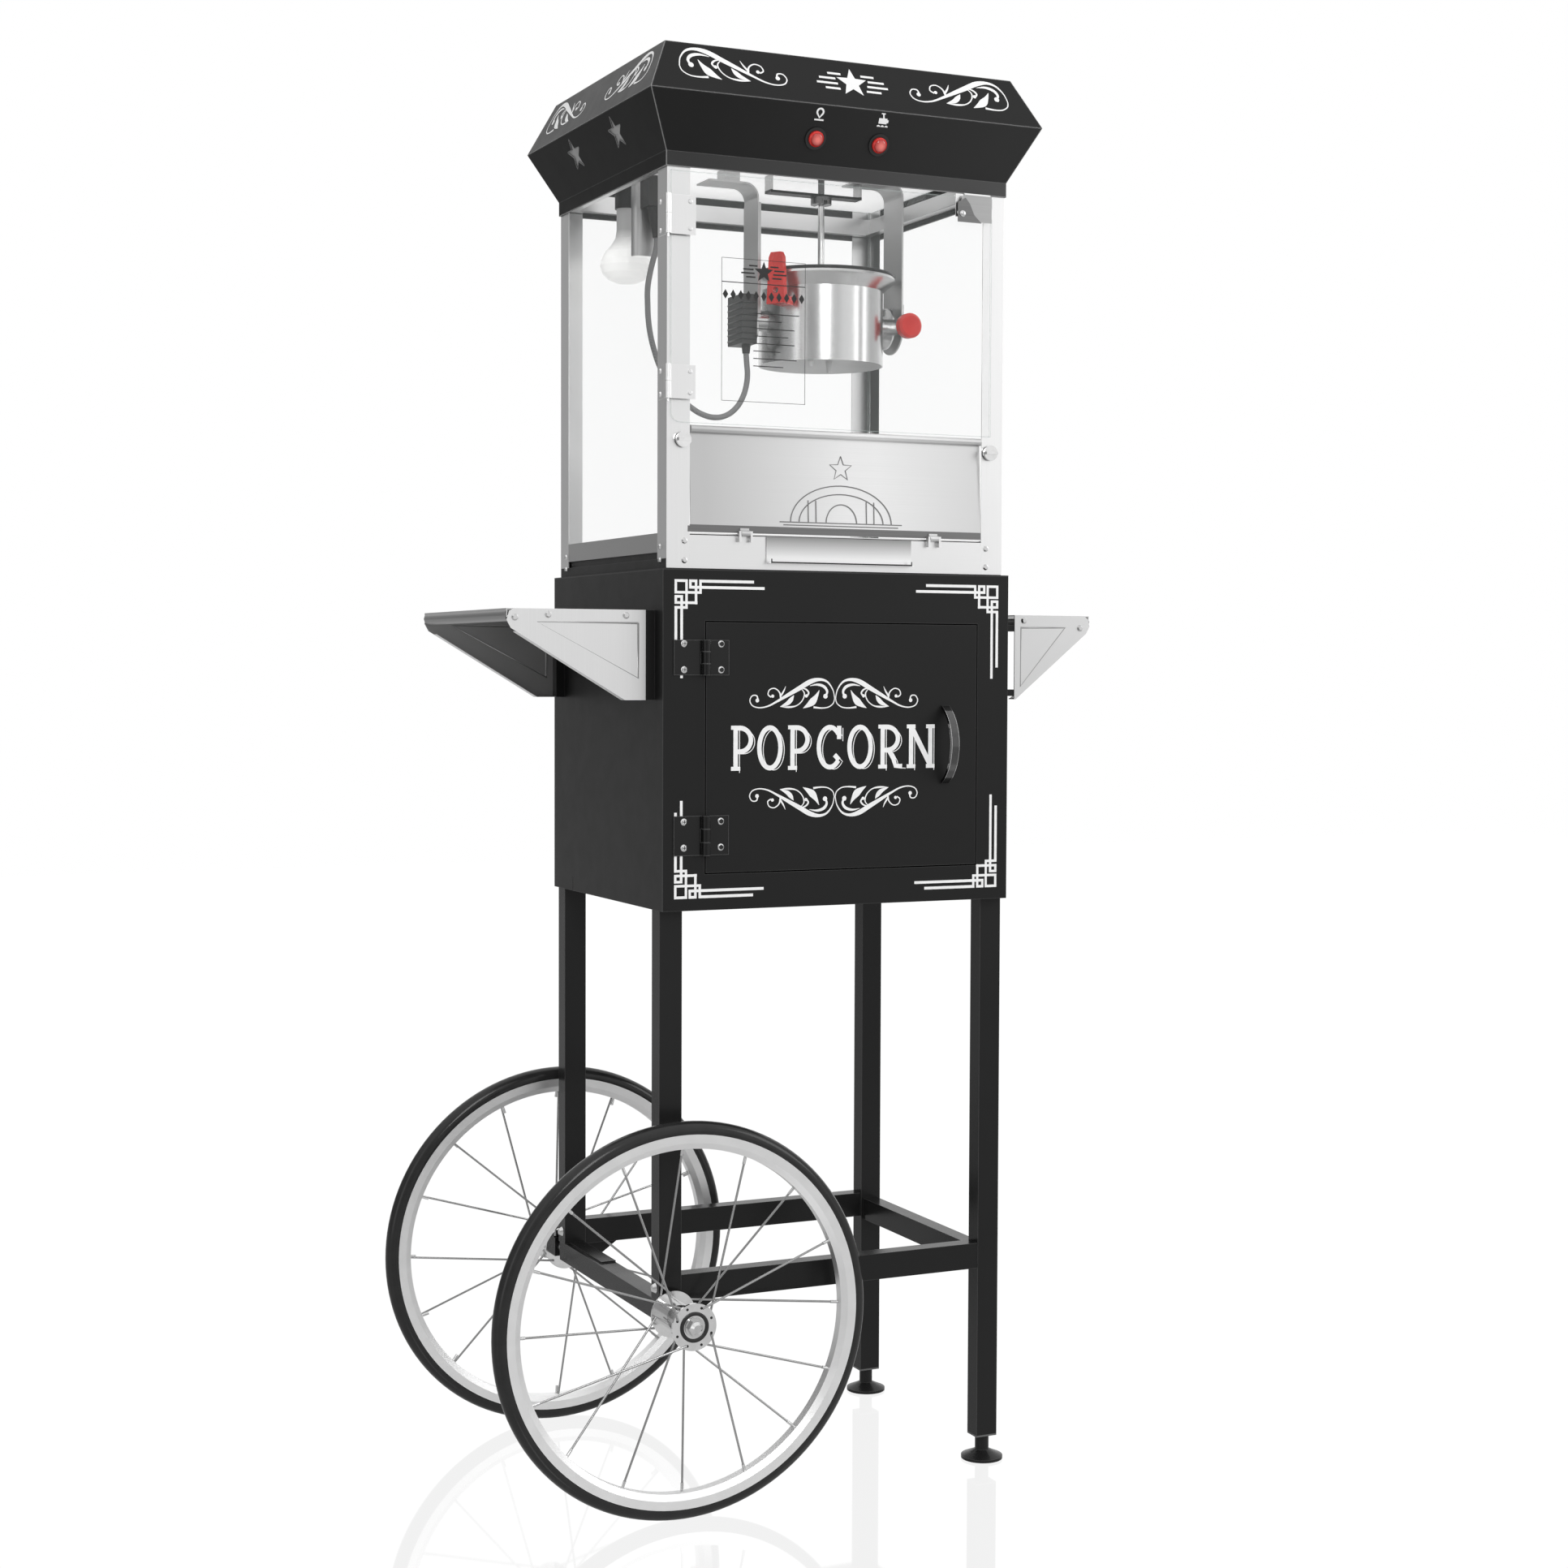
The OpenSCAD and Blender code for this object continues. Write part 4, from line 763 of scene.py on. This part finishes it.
def arc(ca, cb, ra, rb, first, last, steps=22):
    """Points on part of an ellipse, between two angles in degrees."""
    turns = [math.radians(first + (last - first) * i / steps) for i in range(steps + 1)]
    return [(ca + ra * math.cos(t), cb + rb * math.sin(t)) for t in turns]


def letter_p(wide):
    low, high = LETTER_TALL * 0.42, LETTER_TALL - STEM / 2
    reach = wide - STEM - 5
    bowl = arc(5 + reach * 0.35, (low + high) / 2, reach * 0.75, (high - low) / 2, 90, -90)
    return [[(6, 0), (6, LETTER_TALL)], [(6, high), *bowl, (6, low)]]


def letter_r(wide):
    return letter_p(wide - 3) + [[(wide * 0.45, LETTER_TALL * 0.4), (wide * 0.62, LETTER_TALL * 0.22),
                                  (wide * 0.7, 3), (wide - 1, 2.4)]]


def letter_o(wide):
    return [arc(wide / 2, LETTER_TALL / 2, wide / 2 - 3, LETTER_TALL / 2 - 2.6, 0, 360, 40)]


def letter_c(wide):
    curve = arc(wide / 2, LETTER_TALL / 2, wide / 2 - 3, LETTER_TALL / 2 - 2.6, 42, 318, 32)
    end = wide * 0.84
    return [curve, [(end, LETTER_TALL - 1), (end, LETTER_TALL * 0.68)], [(end, 11), (end - 6, 17)]]


def letter_n(wide):
    return [[(6, 0), (6, LETTER_TALL)], [(wide - 6, 0), (wide - 6, LETTER_TALL)],
            [(6, LETTER_TALL - 3), (wide - 6, 3)]]


# Each letter's left end and width on the door, its strokes, and where its slabs stand
WORD = [(-141, 29, letter_p, [6]), (-108, 33, letter_o, []), (-68.5, 29, letter_p, [6]),
        (-31.5, 35, letter_c, []), (8.5, 34, letter_o, []), (49.5, 33, letter_r, [6]),
        (87.5, 38, letter_n, [6, 32])]


def slabs(sheet, start, feet):
    for foot in feet:
        for level in (LETTER_BASE, LETTER_BASE + LETTER_TALL - SLAB):
            sheet.bar(start + foot - 5.8, level, start + foot + 5.8, level + SLAB)


def door_word():
    sheet = Sheet(front_plane("door_panel"), INK)
    shift_a, shift_b, thin = SHADOW
    for start, wide, strokes, feet in WORD:
        for line in strokes(wide):
            placed = [(start + a, LETTER_BASE + b) for a, b in line]
            sheet.stroke(placed, [STEM] * 2, 1)
            sheet.stroke([(a + shift_a, b + shift_b) for a, b in placed], [thin] * 2, 1)
        slabs(sheet, start, feet)
    sheet.make("door_word", "cabinet_door", "white_ink")


# ---------------- printing on the canopy
def slope(kind, side):
    """A slope of the canopy, upper or lower, on its front, left or right side. Its origin is on
    the ridge, level with the middle of the cabinet, and up runs up the slope."""
    ridge = PROFILE["ridge"]
    foot, head = (ridge, PROFILE["roof"]) if kind == "upper" else (PROFILE["skirt"], ridge)
    rise = head[2] - foot[2]
    if side == "front":
        return Plane(Vector((MIDDLE.x, ridge[1], ridge[2])), X, Vector((0, head[1] - foot[1], rise)))
    lean = head[0] - foot[0]
    if side == "left":
        return Plane(Vector((ridge[0], 0, ridge[2])), -Y, Vector((lean, 0, rise)))
    return Plane(Vector((2 * MIDDLE.x - ridge[0], 0, ridge[2])), Y, Vector((-lean, 0, rise)))


CANOPY_SCROLL_LONG, CANOPY_SCROLL_TALL, CANOPY_SCROLL_BASE = 135, 40.5, 18.5
FRONT_SCROLL_END, SIDE_SCROLL_END = 213, 170


def scroll_pair(sheet, end):
    """Two scrolls running in from both ends."""
    for start in (-end, end):
        scroll(sheet, start, CANOPY_SCROLL_BASE, -math.copysign(CANOPY_SCROLL_LONG, start),
               CANOPY_SCROLL_TALL)


def canopy_scrolls():
    sheet = Sheet(slope("upper", "front"), INK)
    scroll_pair(sheet, FRONT_SCROLL_END)
    star_ornament(sheet, 5, 35)
    sheet.make("canopy_front_print", "root", "white_ink")
    for side in ("left", "right"):
        sheet = Sheet(slope("upper", side), INK)
        scroll_pair(sheet, SIDE_SCROLL_END)
        sheet.make(f"canopy_{side}_print", "root", "white_ink")


STAR_POINTS, STAR_WAIST = 5, 0.42


def star_points(ca, cb, radius):
    """Outline of a star standing on two of its points."""
    made = []
    for i in range(STAR_POINTS * 2):
        reach = radius if i % 2 == 0 else radius * STAR_WAIST
        turn = math.pi / 2 + math.pi * i / STAR_POINTS
        made.append((ca + reach * math.cos(turn), cb + reach * math.sin(turn)))
    return made


STAR_BARS = [(11, 13, 30), (4, 21, 42), (-3, 19, 46), (-10, 17, 36)]  # level, near and far end


def star_ornament(sheet, ca, cb, size=1.0):
    """A plain star between two stacks of bars."""
    sheet.outline(star_points(ca, cb, 20 * size))
    for side in (-1, 1):
        for level, near, far in STAR_BARS:
            a0, a1 = sorted((ca + side * near * size, ca + side * far * size))
            sheet.bar(a0, cb + (level - 1.4) * size, a1, cb + (level + 1.4) * size)


ICON_XS = (-41, 41)
ICON_LEVEL = -12.0


def button_icons():
    """A lamp and a bar over the light button, and a pan and waves over the kettle button."""
    sheet = Sheet(slope("lower", "front"), INK)
    lamp_x, pan_x = ICON_XS
    level = ICON_LEVEL
    ring = arc(lamp_x, level + 3, 3.9, 3.9, -50, 230, 24)
    sheet.stroke(ring, [2.2] * 2, 1)
    sheet.stroke([(lamp_x - 2.5, level), (lamp_x, level - 3.6), (lamp_x + 2.5, level)],
                 [1.9] * 2, 1)
    sheet.bar(lamp_x - 5.8, level - 7, lamp_x + 5.8, level - 5.2)
    sheet.bar(pan_x - 6, level - 3, pan_x + 4.6, level + 3.4)
    sheet.outline([(pan_x + 4.6, level - 1.6), (pan_x + 6.4, level - 1.6),
                   (pan_x + 6.4, level + 1.8), (pan_x + 4.6, level + 1.8)])
    sheet.stroke([(pan_x - 1.5, level + 8.6), (pan_x, level + 3)], [1.8] * 2, 1)
    sheet.bar(pan_x - 4, level + 8, pan_x + 1, level + 9.4)
    for k in range(3):
        start = pan_x - 7 + 5 * k
        sheet.stroke([(start, level - 6.4), (start + 1.8, level - 5.4),
                      (start + 3.6, level - 6.4)], [1.6] * 2, 4)
    sheet.make("button_icons", "root", "white_ink")


# ---------------- on the popping cabin's front
LABEL = (-153.5, 1278, -47.5, 1441)
LABEL_LINE = 0.5
LABEL_DIAMONDS, DIAMOND_WIDE, DIAMOND_TALL = 11, 6.8, 11.2
LABEL_RULES = (0, 22, 6, 14, 6, 24, 3, 20)  # how much shorter each rule is
RULE_STEP = 8.6


def glass_label():
    """A clear label without letters: its outline, a star, a row of diamonds and plain rules."""
    sheet = Sheet(front_plane("glass_door_pane"), 0.12)
    a0, b0, a1, b1 = LABEL
    line = LABEL_LINE
    for low, high in (((a0, b0), (a1, b0 + line)), ((a0, b1 - line), (a1, b1)),
                      ((a0, b0), (a0 + line, b1)), ((a1 - line, b0), (a1, b1))):
        sheet.bar(*low, *high)
    sheet.bar(a0, b1 - 28, a1, b1 - 27)
    for k in range(LABEL_DIAMONDS):
        a, b = a0 + (a1 - a0) * (k + 0.5) / LABEL_DIAMONDS, b1 - 41.5
        wide, tall = DIAMOND_WIDE / 2, DIAMOND_TALL / 2
        sheet.outline([(a - wide, b), (a, b - tall), (a + wide, b), (a, b + tall)])
    for k, short in enumerate(LABEL_RULES):
        top = b1 - 60.8 - RULE_STEP * k
        sheet.bar(a0 + 40, top - 1, a1 - 8 - short, top)
    star_ornament(sheet, (a0 + a1) / 2, b1 - 14, 0.62)
    sheet.make("glass_label", "glass_door", "black_ink")


FLAP_STRIP = (-193, 1127.6, 190, 1136)
FLAP_ARCHES = [(66, 44), (55, 34), (20, 22)]  # half width and height
FLAP_LINES = [(-77, 83, 0), (-72, 78, -3.4), (-77, 83, -6.8)]  # ends and level
FLAP_COLUMNS = (-40, -30, 36, 46)


def flap_emblem():
    """A star over three arches on a plinth, pressed up from behind in thin raised lines, darker as
    painted shade.
    """
    sheet = Sheet(leaning_plane("serving_flap", 1140, 1235), 0.5, 0.1)
    low = sheet.plane.level(1142)
    for across, tall in FLAP_ARCHES:
        sheet.stroke(arc(3, low, across, tall, 0, 180, 30), [1.3] * 2, 1)
    for a0, a1, level in FLAP_LINES:
        sheet.bar(a0, low + level - 0.6, a1, low + level + 0.6)
    for a in FLAP_COLUMNS:
        sheet.bar(a - 0.6, low, a + 0.6, low + 26)
    star = star_points(3, low + 64, 15)
    sheet.stroke(star + star[:1], [1.1] * 2, 1)
    sheet.make("flap_emblem", "serving_flap", "strip_steel")


def flap_strip():
    """A dark strip of painted shade at the flap's foot, along its lower bend."""
    a0, z0, a1, z1 = FLAP_STRIP
    sheet = Sheet(leaning_plane("serving_flap", 1131, 1235), 0.5, 0.1)
    sheet.bar(a0, sheet.plane.level(z0), a1, sheet.plane.level(z1))
    sheet.make("flap_foot_strip", "serving_flap", "strip_steel")


def drawer_slot():
    """The dark joint line round the lower edge of the crumb drawer's front."""
    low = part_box("crumb_drawer")[0]
    sheet = Sheet(front_plane("crumb_drawer"), 0.15)
    foot, end = low.z / MM + 0.3, 92
    sheet.bar(-end, foot, end, foot + 1.7)
    for left in (-end, end - 1.4):
        sheet.bar(left, foot, left + 1.4, foot + 5)
    sheet.make("drawer_slot", "crumb_drawer", "black_ink")


STRIKE_TAB = [(154, 1505), (196, 1505), (196, 1536.5), (158, 1536.5), (154, 1528)]
STOP_THICK = 1.1
STRIKE_STOP = [(150, 1504), (182, 1504), (172, 1513), (166, 1526), (160, 1533), (150, 1527)]


def strike_plate():
    """The strike plate at the glass door's upper corner, with its dark stop."""
    for name, outline, thick, finish, slot in (
            ("strike_plate", STRIKE_TAB, 0.5, "tab_steel", "brushed_steel"),
            ("strike_stop", STRIKE_STOP, STOP_THICK, "strip_steel", "dark_steel")):
        sheet = Sheet(front_plane("glass_door_hardware"), thick)
        sheet.outline(outline)
        sheet.make(name, "glass_door", finish)


# ---------------- turned and drawn details
SHARP_ANGLE = 38


def add_mesh(name, mesh, body, finish):
    data = bpy.data.meshes.new(name)
    bmesh.ops.recalc_face_normals(mesh, faces=mesh.faces)
    for face in mesh.faces:
        face.smooth = True
    mesh.to_mesh(data)
    mesh.free()
    data.set_sharp_from_angle(angle=math.radians(SHARP_ANGLE))
    add_piece(name, data, body, finish)


def turned(name, places, profile, body, finish, slot, sides=40):
    """Solids of revolution. places lists centres and axes. profile lists (radius, height) pairs
    in millimetres, from axis to axis, or round a ring that closes on itself."""
    mesh = bmesh.new()
    for centre, axis in places:
        turn = axis.to_track_quat("Z", "Y")
        rings = []
        for radius, height in profile:
            count = sides if radius else 1
            turns = [2 * math.pi * i / count for i in range(count)]
            rings.append([mesh.verts.new(centre + turn @ Vector(
                (radius * math.cos(t), radius * math.sin(t), height)) * MM) for t in turns])
        if profile[0][0]:
            rings.append(rings[0])
        for low, high in zip(rings, rings[1:]):
            for i in range(sides):
                j = (i + 1) % sides
                corners = [low[i % len(low)], low[j % len(low)], high[j % len(high)],
                           high[i % len(high)]]
                mesh.faces.new(list(dict.fromkeys(corners)))
    add_mesh(name, mesh, body, finish)


def bead(name, lines, radius, body, finish):
    """Round wire or a rolled edge along each line of points, with closed ends."""
    data = bpy.data.curves.new(name, "CURVE")
    data.dimensions, data.bevel_depth, data.bevel_resolution = "3D", 1, 3
    data.use_fill_caps = True
    for line in lines:
        spline = data.splines.new("POLY")
        spline.points.add(len(line) - 1)
        for point, place in zip(spline.points, line):
            point.co, point.radius = (*place, 1), radius * MM
    add_piece(name, data, body, finish)


KETTLE = (62, 5)
LID_BEAD_R, LID_BEAD_Z = 90.6, 1458.3


def lid_beads():
    """The dark rolled rim of the lid, in the halves that the lid is made of."""
    for name, body, first, last in (("lid_bead_front", "kettle_lid", 186.5, 353.5),
                                    ("lid_bead_rear", "kettle", -3, 183)):
        line = [at(x, y, LID_BEAD_Z) for x, y in arc(*KETTLE, LID_BEAD_R, LID_BEAD_R, first, last, 60)]
        bead(name, [line], 2.2, body, "lid_black")


BOX_RIBS = [1373.5 + 7.4 * k for k in range(7)]


def box_ribs():
    """Grip ribs moulded round the lead's connector box."""
    corners = [(-37.5, -20), (-55.4, -20), (-56, -19.4), (-56, 23.4), (-55.4, 24), (-37.5, 24)]
    bead("plug_ribs", [[at(x, y, z) for x, y in corners] for z in BOX_RIBS], 1.1, "root",
         "black_plastic")


BUTTON_Z, CAP_TOP = 1583.6, 8
BUTTON_DOME = [(0, 5.4), (7.5, 5.4), (7.5, 5.9), (6.9, 6.7), (5.4, 7.4), (3, 7.9), (0, 8.1)]


def button_domes():
    """Domed caps on the two buttons."""
    plane = slope("lower", "front")
    for node, across in zip(("light_button", "kettle_button"), ICON_XS):
        centre = plane.point(across, plane.level(BUTTON_Z))
        button_cap(f"{node}_cap", centre + plane.out * CAP_TOP * MM)
        turned(f"{node}_dome", [(centre, plane.out)], BUTTON_DOME, node, f"{node}_cap", "red_plastic")


AXLE_X, WHEEL_Y, WHEEL_R = -210.8, 211.5, 228.6
HUB_HALF, FLANGE_HOLE_R = 32.5, 22.5
RIM_IN_R, SPOKES, SPOKE_TURN = 197.6, 16, 42
OUTER_FACE, INNER_FACE = 1, -4.2  # where spokes leave a flange, from the flange's own face
NIPPLE_LONG, NIPPLE_R, RIM_HOLE_Y = 9, 1.8, 3
SEAL = [(13.2, -0.4), (17.4, -0.4), (17.4, 0.9), (16.6, 1.5), (14, 1.5), (13.2, 0.9)]
SPOKE_HOLES, HOLE_R = 8, 1.6


def wheel_details():
    """Spoke nipples at the rims, and a dust seal and spoke holes on each hub's outer face."""
    for body, side in (("wheel_front", -1), ("wheel_rear", 1)):
        centre = at(AXLE_X, side * WHEEL_Y, WHEEL_R)
        nipples = []
        for i in range(SPOKES):
            flange = 1 if i % 2 == 0 else -1
            lean = 1 if i // 2 % 2 == 0 else -1
            rim_turn = 2 * math.pi * i / SPOKES
            hub_turn = rim_turn + lean * math.radians(SPOKE_TURN)
            rim = Vector((RIM_IN_R * math.cos(rim_turn), flange * RIM_HOLE_Y,
                          RIM_IN_R * math.sin(rim_turn)))
            hub = Vector((FLANGE_HOLE_R * math.cos(hub_turn),
                          flange * (HUB_HALF + (OUTER_FACE if lean > 0 else INNER_FACE)),
                          FLANGE_HOLE_R * math.sin(hub_turn)))
            along = (hub - rim).normalized()
            nipples.append([centre + rim * MM, centre + (rim + along * NIPPLE_LONG) * MM])
        bead(f"{body}_nipples", nipples, NIPPLE_R, body, "bright_steel")
        face = centre + Vector((0, side * HUB_HALF * MM, 0))
        turned(f"{body}_seal", [(face, Y * side)], SEAL, body, "black_plastic", "black_plastic", 56)
        sheet = Sheet(Plane(face, X * -side, Z), 0.08)
        for k in range(SPOKE_HOLES):
            turn = 2 * math.pi * (k + 0.5) / SPOKE_HOLES
            sheet.disc(FLANGE_HOLE_R * math.cos(turn), FLANGE_HOLE_R * math.sin(turn), HOLE_R, 14)
        sheet.make(f"{body}_spoke_holes", body, "black_ink")


SHELF_Z, BRACKET_Y = 1038, 156.4
ROLL_R, ROLL_DROP, ROLL_HALF = 7.6, 7.2, 155
BRACKET_PANELS = [[(-246, 1023), (-368, 1023), (-246, 960), (-246, 1023)],
                  [(258, 1023), (321, 1023), (258, 951), (258, 1023)]]


def shelf_details():
    """Rolled outer edges of the trays, darker as painted shade, and the beads pressed round the
    brackets' panels.
    """
    for name, x in (("tray_roll_left", -397.6), ("tray_roll_right", 350.1)):
        ends = [at(x, y, SHELF_Z - ROLL_DROP) for y in (-ROLL_HALF, ROLL_HALF)]
        bead(name, [ends], ROLL_R, "root", "lip_steel")
    lines = [[at(x, side * BRACKET_Y, z) for x, z in panel]
             for panel in BRACKET_PANELS for side in (-1, 1)]
    bead("bracket_beads", lines, 1.9, "root", "tab_steel")


STRIKE_SCREW = (156.5, 1514)
HINGE_SCREW_ZS = (999.6, 969.9, 795.8, 766)
BESIDE_SCREW = 6
HEAD_TALL, CROSS = 2.1, (1.9, 0.45)  # CROSS is half the length and width of one slot
SCREW_HEAD = [(0, -0.6), (4.1, -0.6), (4.1, 0.5), (3.2, 1.5), (1.6, 2), (0, 2.1)]


def hinge_screws():
    """Bright screw heads with crossed slots on the door's hinges, and one on the strike plate."""
    for name, node, x, body in (("leaf_screws", "door_hinge_leaves", -200, "root"),
                                ("flag_screws", "door_hinge_flags", -154, "cabinet_door")):
        beside = [front_of(node, x + BESIDE_SCREW, z) for z in HINGE_SCREW_ZS]
        places = [(Vector((at(x, 0, 0).x, point.y, point.z)), -Y) for point in beside]
        turned(name, places, SCREW_HEAD, body, "bright_steel", "bright_steel", 24)
        slots = Sheet(Plane(Vector((MIDDLE.x, places[0][0].y - HEAD_TALL * MM, 0)), X, Z), 0.12, 0.6)
        for z in HINGE_SCREW_ZS:
            for wide, tall in (CROSS, CROSS[::-1]):
                slots.bar(x - wide, z - tall, x + wide, z + tall)
        slots.make(f"{name}_slots", body, "black_ink")
    x, z = STRIKE_SCREW
    face = Vector((at(x, 0, z).x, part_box("glass_door_hardware")[0].y - STOP_THICK * MM, z * MM))
    turned("strike_screw_head", [(face, -Y)], SCREW_HEAD, "glass_door", "bright_steel",
           "bright_steel", 24)


# ---------------- floor, world and lights
FLOOR_HALF = 9.0
FLOOR_MIRROR, FLOOR_ROUGHNESS = 0.17, 0.04
FLOOR_GLOW, FLOOR_BOUNCE = 1.06, 0.58


def make_floor():
    """A white floor with a faint mirror, brighter to the camera than to the object."""
    mesh = bpy.data.meshes.new("floor")
    h = FLOOR_HALF
    mesh.from_pydata([(-h, -h, 0), (h, -h, 0), (h, h, 0), (-h, h, 0)], [], [(0, 1, 2, 3)])
    floor = add("floor", mesh)
    material = bpy.data.materials.new("floor")
    tree = Tree(material)
    ray = tree.node("ShaderNodeLightPath").outputs["Is Camera Ray"]
    white = tree.node("ShaderNodeEmission")
    white.inputs["Color"].default_value = (1, 1, 1, 1)
    tree.link(tree.spread(ray, FLOOR_BOUNCE, FLOOR_GLOW, 0, 1), white.inputs["Strength"])
    mirror = tree.node("ShaderNodeBsdfGlossy")
    mirror.inputs["Roughness"].default_value = FLOOR_ROUGHNESS
    mixed = tree.node("ShaderNodeMixShader")
    mixed.inputs["Fac"].default_value = FLOOR_MIRROR
    output = tree.node("ShaderNodeOutputMaterial")
    tree.link(white.outputs[0], mixed.inputs[1])
    tree.link(mirror.outputs[0], mixed.inputs[2])
    tree.link(mixed.outputs[0], output.inputs["Surface"])
    mesh.materials.append(material)


# Brightness of the studio wall round the object, by turn: 0 is -X, 0.25 is -Y, 0.5 is +X
STUDIO_WALL = [(0.0, 0.35), (0.03, 0.4), (0.05, 1.4), (0.085, 1.4), (0.11, 0.4), (0.2, 0.35),
               (0.26, 0.6), (0.3, 0.9), (0.34, 0.9), (0.4, 0.95), (0.46, 0.5), (0.52, 0.6),
               (0.6, 1.0), (0.76, 1.0), (0.805, 0.3), (0.85, 0.18), (0.9, 0.2), (0.95, 0.34)]
STUDIO_TOP = 1.1
WALL_FADE = (0.35, 0.8)


def make_world():
    """The studio: white to the camera, and to the object a wall of uneven light under a top."""
    world = bpy.data.worlds.new("studio")
    bpy.context.scene.world = world
    tree = Tree(world)
    coords = tree.node("ShaderNodeTexCoord").outputs["Generated"]
    turn = tree.node("ShaderNodeTexGradient", gradient_type="RADIAL")
    tree.link(coords, turn.inputs["Vector"])
    ramp = tree.node("ShaderNodeValToRGB")
    ramp.color_ramp.interpolation = "EASE"
    stops = ramp.color_ramp.elements
    for position, value in STUDIO_WALL[1:]:
        stops.new(position).color = (value, value, value, 1)
    first = STUDIO_WALL[0][1]
    stops[0].color = stops[-1].color = (first, first, first, 1)
    tree.link(turn.outputs["Fac"], ramp.inputs["Fac"])
    height = tree.spread(tree.parts(coords)[2], 0, 1, *WALL_FADE)
    wall = tree.blend(height, ramp.outputs["Color"], grey(STUDIO_TOP))
    ray = tree.node("ShaderNodeLightPath").outputs["Is Camera Ray"]
    background = tree.node("ShaderNodeBackground")
    tree.link(tree.blend(ray, wall, grey(1)), background.inputs["Color"])
    output = tree.node("ShaderNodeOutputWorld")
    tree.link(background.outputs[0], output.inputs["Surface"])


LIGHT_AIM = (0, 0, 900)
LIGHTS = [("key", (-900, -3100, 2500), (0.7, 1.6), 26), ("fill", (2300, -1700, 1900), (1.2, 1.6), 14)]


def soft_light(name, place, size, power):
    data = bpy.data.lights.new(name, "AREA")
    data.shape, data.size, data.size_y = "RECTANGLE", *size
    data.energy = power
    lamp = add(name, data)
    lamp.location = at(*place)
    lamp.rotation_mode = "QUATERNION"
    lamp.rotation_quaternion = (at(*LIGHT_AIM) - lamp.location).to_track_quat("-Z", "Y")


fret_corners()
door_scrolls()
door_word()
canopy_scrolls()
button_icons()
glass_label()
flap_strip()
flap_emblem()
drawer_slot()
strike_plate()
lid_beads()
box_ribs()
button_domes()
wheel_details()
shelf_details()
hinge_screws()
make_floor()
make_world()
for light in LIGHTS:
    soft_light(*light)
bpy.context.scene.view_settings.view_transform = "Standard"
